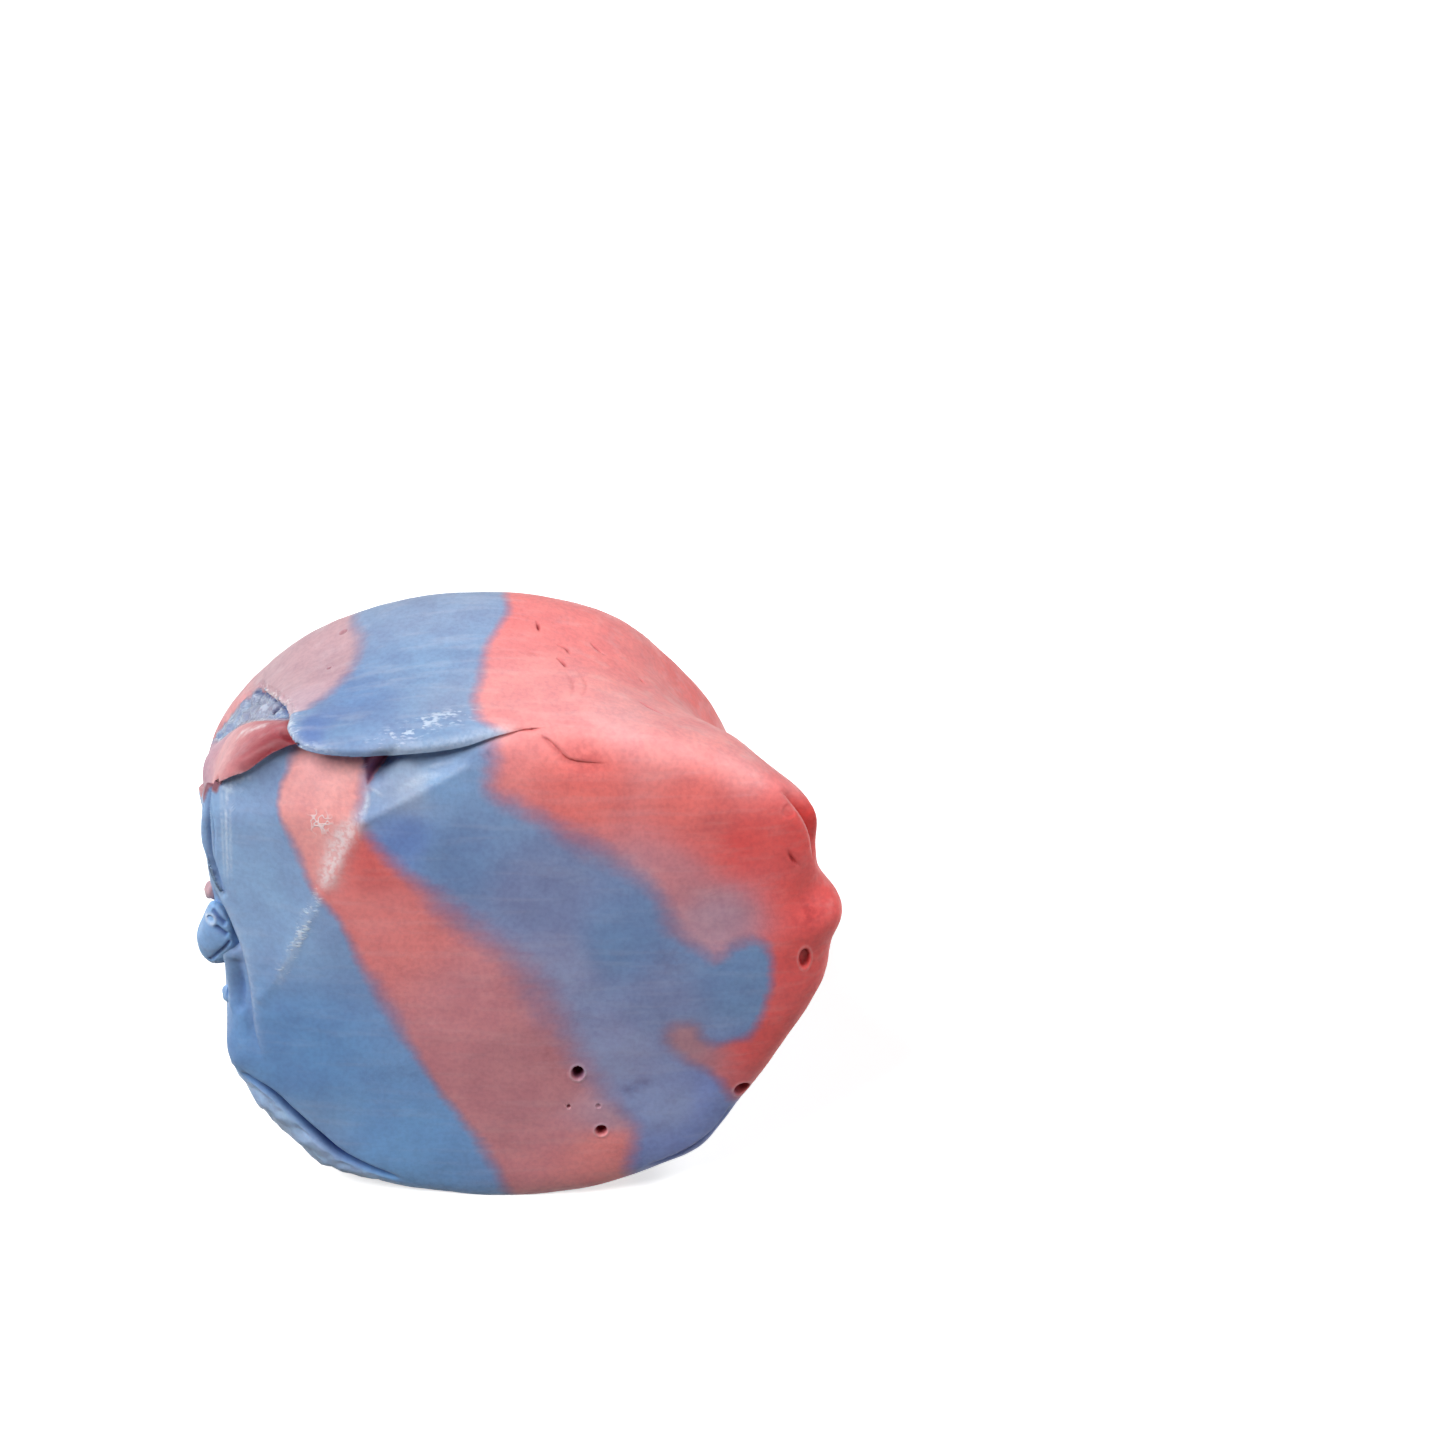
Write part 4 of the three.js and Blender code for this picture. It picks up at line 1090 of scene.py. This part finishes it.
nub_reach = outline_reach(NUB_OUTLINE, NUB_MIDDLE[[0, 2]])
out = np.hypot(ball[:, 0], ball[:, 2])
flat = nub_reach(np.arctan2(ball[:, 2], ball[:, 0]))[:, None] * ball[:, [0, 2]] + NUB_MIDDLE[[0, 2]]
from_bubble = np.linalg.norm(flat - NUB_BUBBLE, axis=1)
creases = np.zeros(len(ball))
for start, end in np.array(NUB_CREASES):
    creases += ring(from_line(flat, start, end), 0, CREASE_WIDTH)
sink = NUB_DENT * creases + NUB_DENT * (1 - smoothstep(from_bubble, 0.1, 0.17))
near_side = ball[:, 1] < 0
nub_shape = np.column_stack([flat[:, 0], NUB_MIDDLE[1] + NUB_HALF_DEPTH * ball[:, 1], flat[:, 1]])
nub_shape[:, 1] += sink * near_side
nub_shape += 0.06 * ball * np.array([noise.noise(Vector(place) * 1.7) for place in nub_shape])[:, None]
nub.data.vertices.foreach_set("co", (nub_shape * MM + shift).ravel())
nub.data.update()
lumps = [nub]
for name, (place, radii) in CRUMBS.items():
    bpy.ops.object.select_all(action="DESELECT")
    bpy.ops.mesh.primitive_ico_sphere_add(subdivisions=4, radius=1)
    crumb = bpy.context.object
    crumb.name = name
    for vertex in crumb.data.vertices:
        bulge = 1 + 0.25 * noise.noise(vertex.co * 1.3 + Vector(place))
        vertex.co = [(c + r * bulge * v) * MM + s for c, r, v, s in zip(place, radii, vertex.co, shift)]
    lumps.append(crumb)
for lump in lumps:
    store(lump, "pink_mm", np.array([WELL_INSIDE if lump.name == "mauve_crumb" else -WELL_INSIDE]))
    store(lump, "softness", np.array([LUMP_SOFTNESS]))
    store(lump, "pink_tone", np.array([PINK_TONES["mauve"][0]]))
    store(lump, "blue_tone", np.array([NUB_BLUE]))
    for polygon in lump.data.polygons:
        polygon.use_smooth = True
    lump.data.materials.append(marbled)
    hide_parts("taffy")
    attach(lump, "root")
# The nub's creases are painted dark as shade, and a ring of painted highlight goes round its burst bubble
store(nub, "painted_shade_and_smudge", np.clip(CREASE_DARKNESS * creases, 0, 1) * near_side)
store(nub, "wax_and_highlights", ring(from_bubble, 0.19, 0.06) * near_side)

# The studio
# A white table top under a soft key light from above, the left and the camera's side, and two weaker ones
# on the right, with a pale dome round it. The table's bounce is left to the dome's lower half.
SKY_GLOW = 0.4
GROUND_GLOW = 0.36
bpy.ops.mesh.primitive_plane_add(size=2)
floor = bpy.context.object
floor.name = "floor"
paper = bpy.data.materials.new("white_paper")
paper.use_nodes = True
feed(paper.node_tree.nodes["Principled BSDF"], {
    "Base Color": (0.9, 0.9, 0.9, 1), "Roughness": 0.9, "Emission Color": (1, 1, 1, 1),
    "Emission Strength": 0.6,
})
floor.data.materials.append(paper)
floor.visible_diffuse = False

world = bpy.context.scene.world or bpy.data.worlds.new("studio")
bpy.context.scene.world = world
world.use_nodes = True
sky = world.node_tree
view_way = sky.nodes.new("ShaderNodeTexCoord")
split = sky.nodes.new("ShaderNodeSeparateXYZ")
dome = sky.nodes.new("ShaderNodeMapRange")
feed(dome, {"From Min": -0.1, "From Max": 0.1, "To Min": GROUND_GLOW, "To Max": SKY_GLOW})
sky.links.new(view_way.outputs["Generated"], split.inputs["Vector"])
sky.links.new(split.outputs["Z"], dome.inputs["Value"])
sky.links.new(dome.outputs["Result"], sky.nodes["Background"].inputs["Strength"])

# All lengths here are in metres. Each lamp has a name, the way to it, its size and its energy.
LAMP_DISTANCE = 1.5
LAMPS = [
    ("key", (-0.5, -0.3, 0.81), 0.9, 25), ("top", (0.6, 0.25, 0.76), 0.6, 9),
    ("side", (0.8, -0.4, 0.3), 0.9, 7),
]
for name, way, size, energy in LAMPS:
    lamp_data = bpy.data.lights.new(name, "AREA")
    lamp_data.shape = "DISK"
    lamp_data.size = size
    lamp_data.energy = energy
    lamp = bpy.data.objects.new(name, lamp_data)
    bpy.context.scene.collection.objects.link(lamp)
    way = unit(np.array(way))
    lamp.location = way * LAMP_DISTANCE
    lamp.rotation_euler = (math.acos(way[2]), 0, math.atan2(way[1], way[0]) + math.pi / 2)

# The photograph was taken from 40 degrees up, square to the cut face, with the piece low and left in the
# frame
LOOK_AT = np.array([8.4, 0, 19.05]) * MM
ELEVATION = math.radians(40)
DISTANCE = 0.2
LENS = 124.07
SENSOR_WIDTH = 36
camera_data = bpy.data.cameras.new("camera")
camera_data.lens = LENS
camera_data.sensor_width = SENSOR_WIDTH
camera_data.clip_start = 0.01
camera = bpy.data.objects.new("camera", camera_data)
camera.location = LOOK_AT + DISTANCE * np.array([0, -math.cos(ELEVATION), math.sin(ELEVATION)])
camera.rotation_euler = (math.pi / 2 - ELEVATION, 0, 0)
bpy.context.scene.collection.objects.link(camera)
bpy.context.scene.camera = camera
bpy.context.scene.view_settings.view_transform = "Standard"
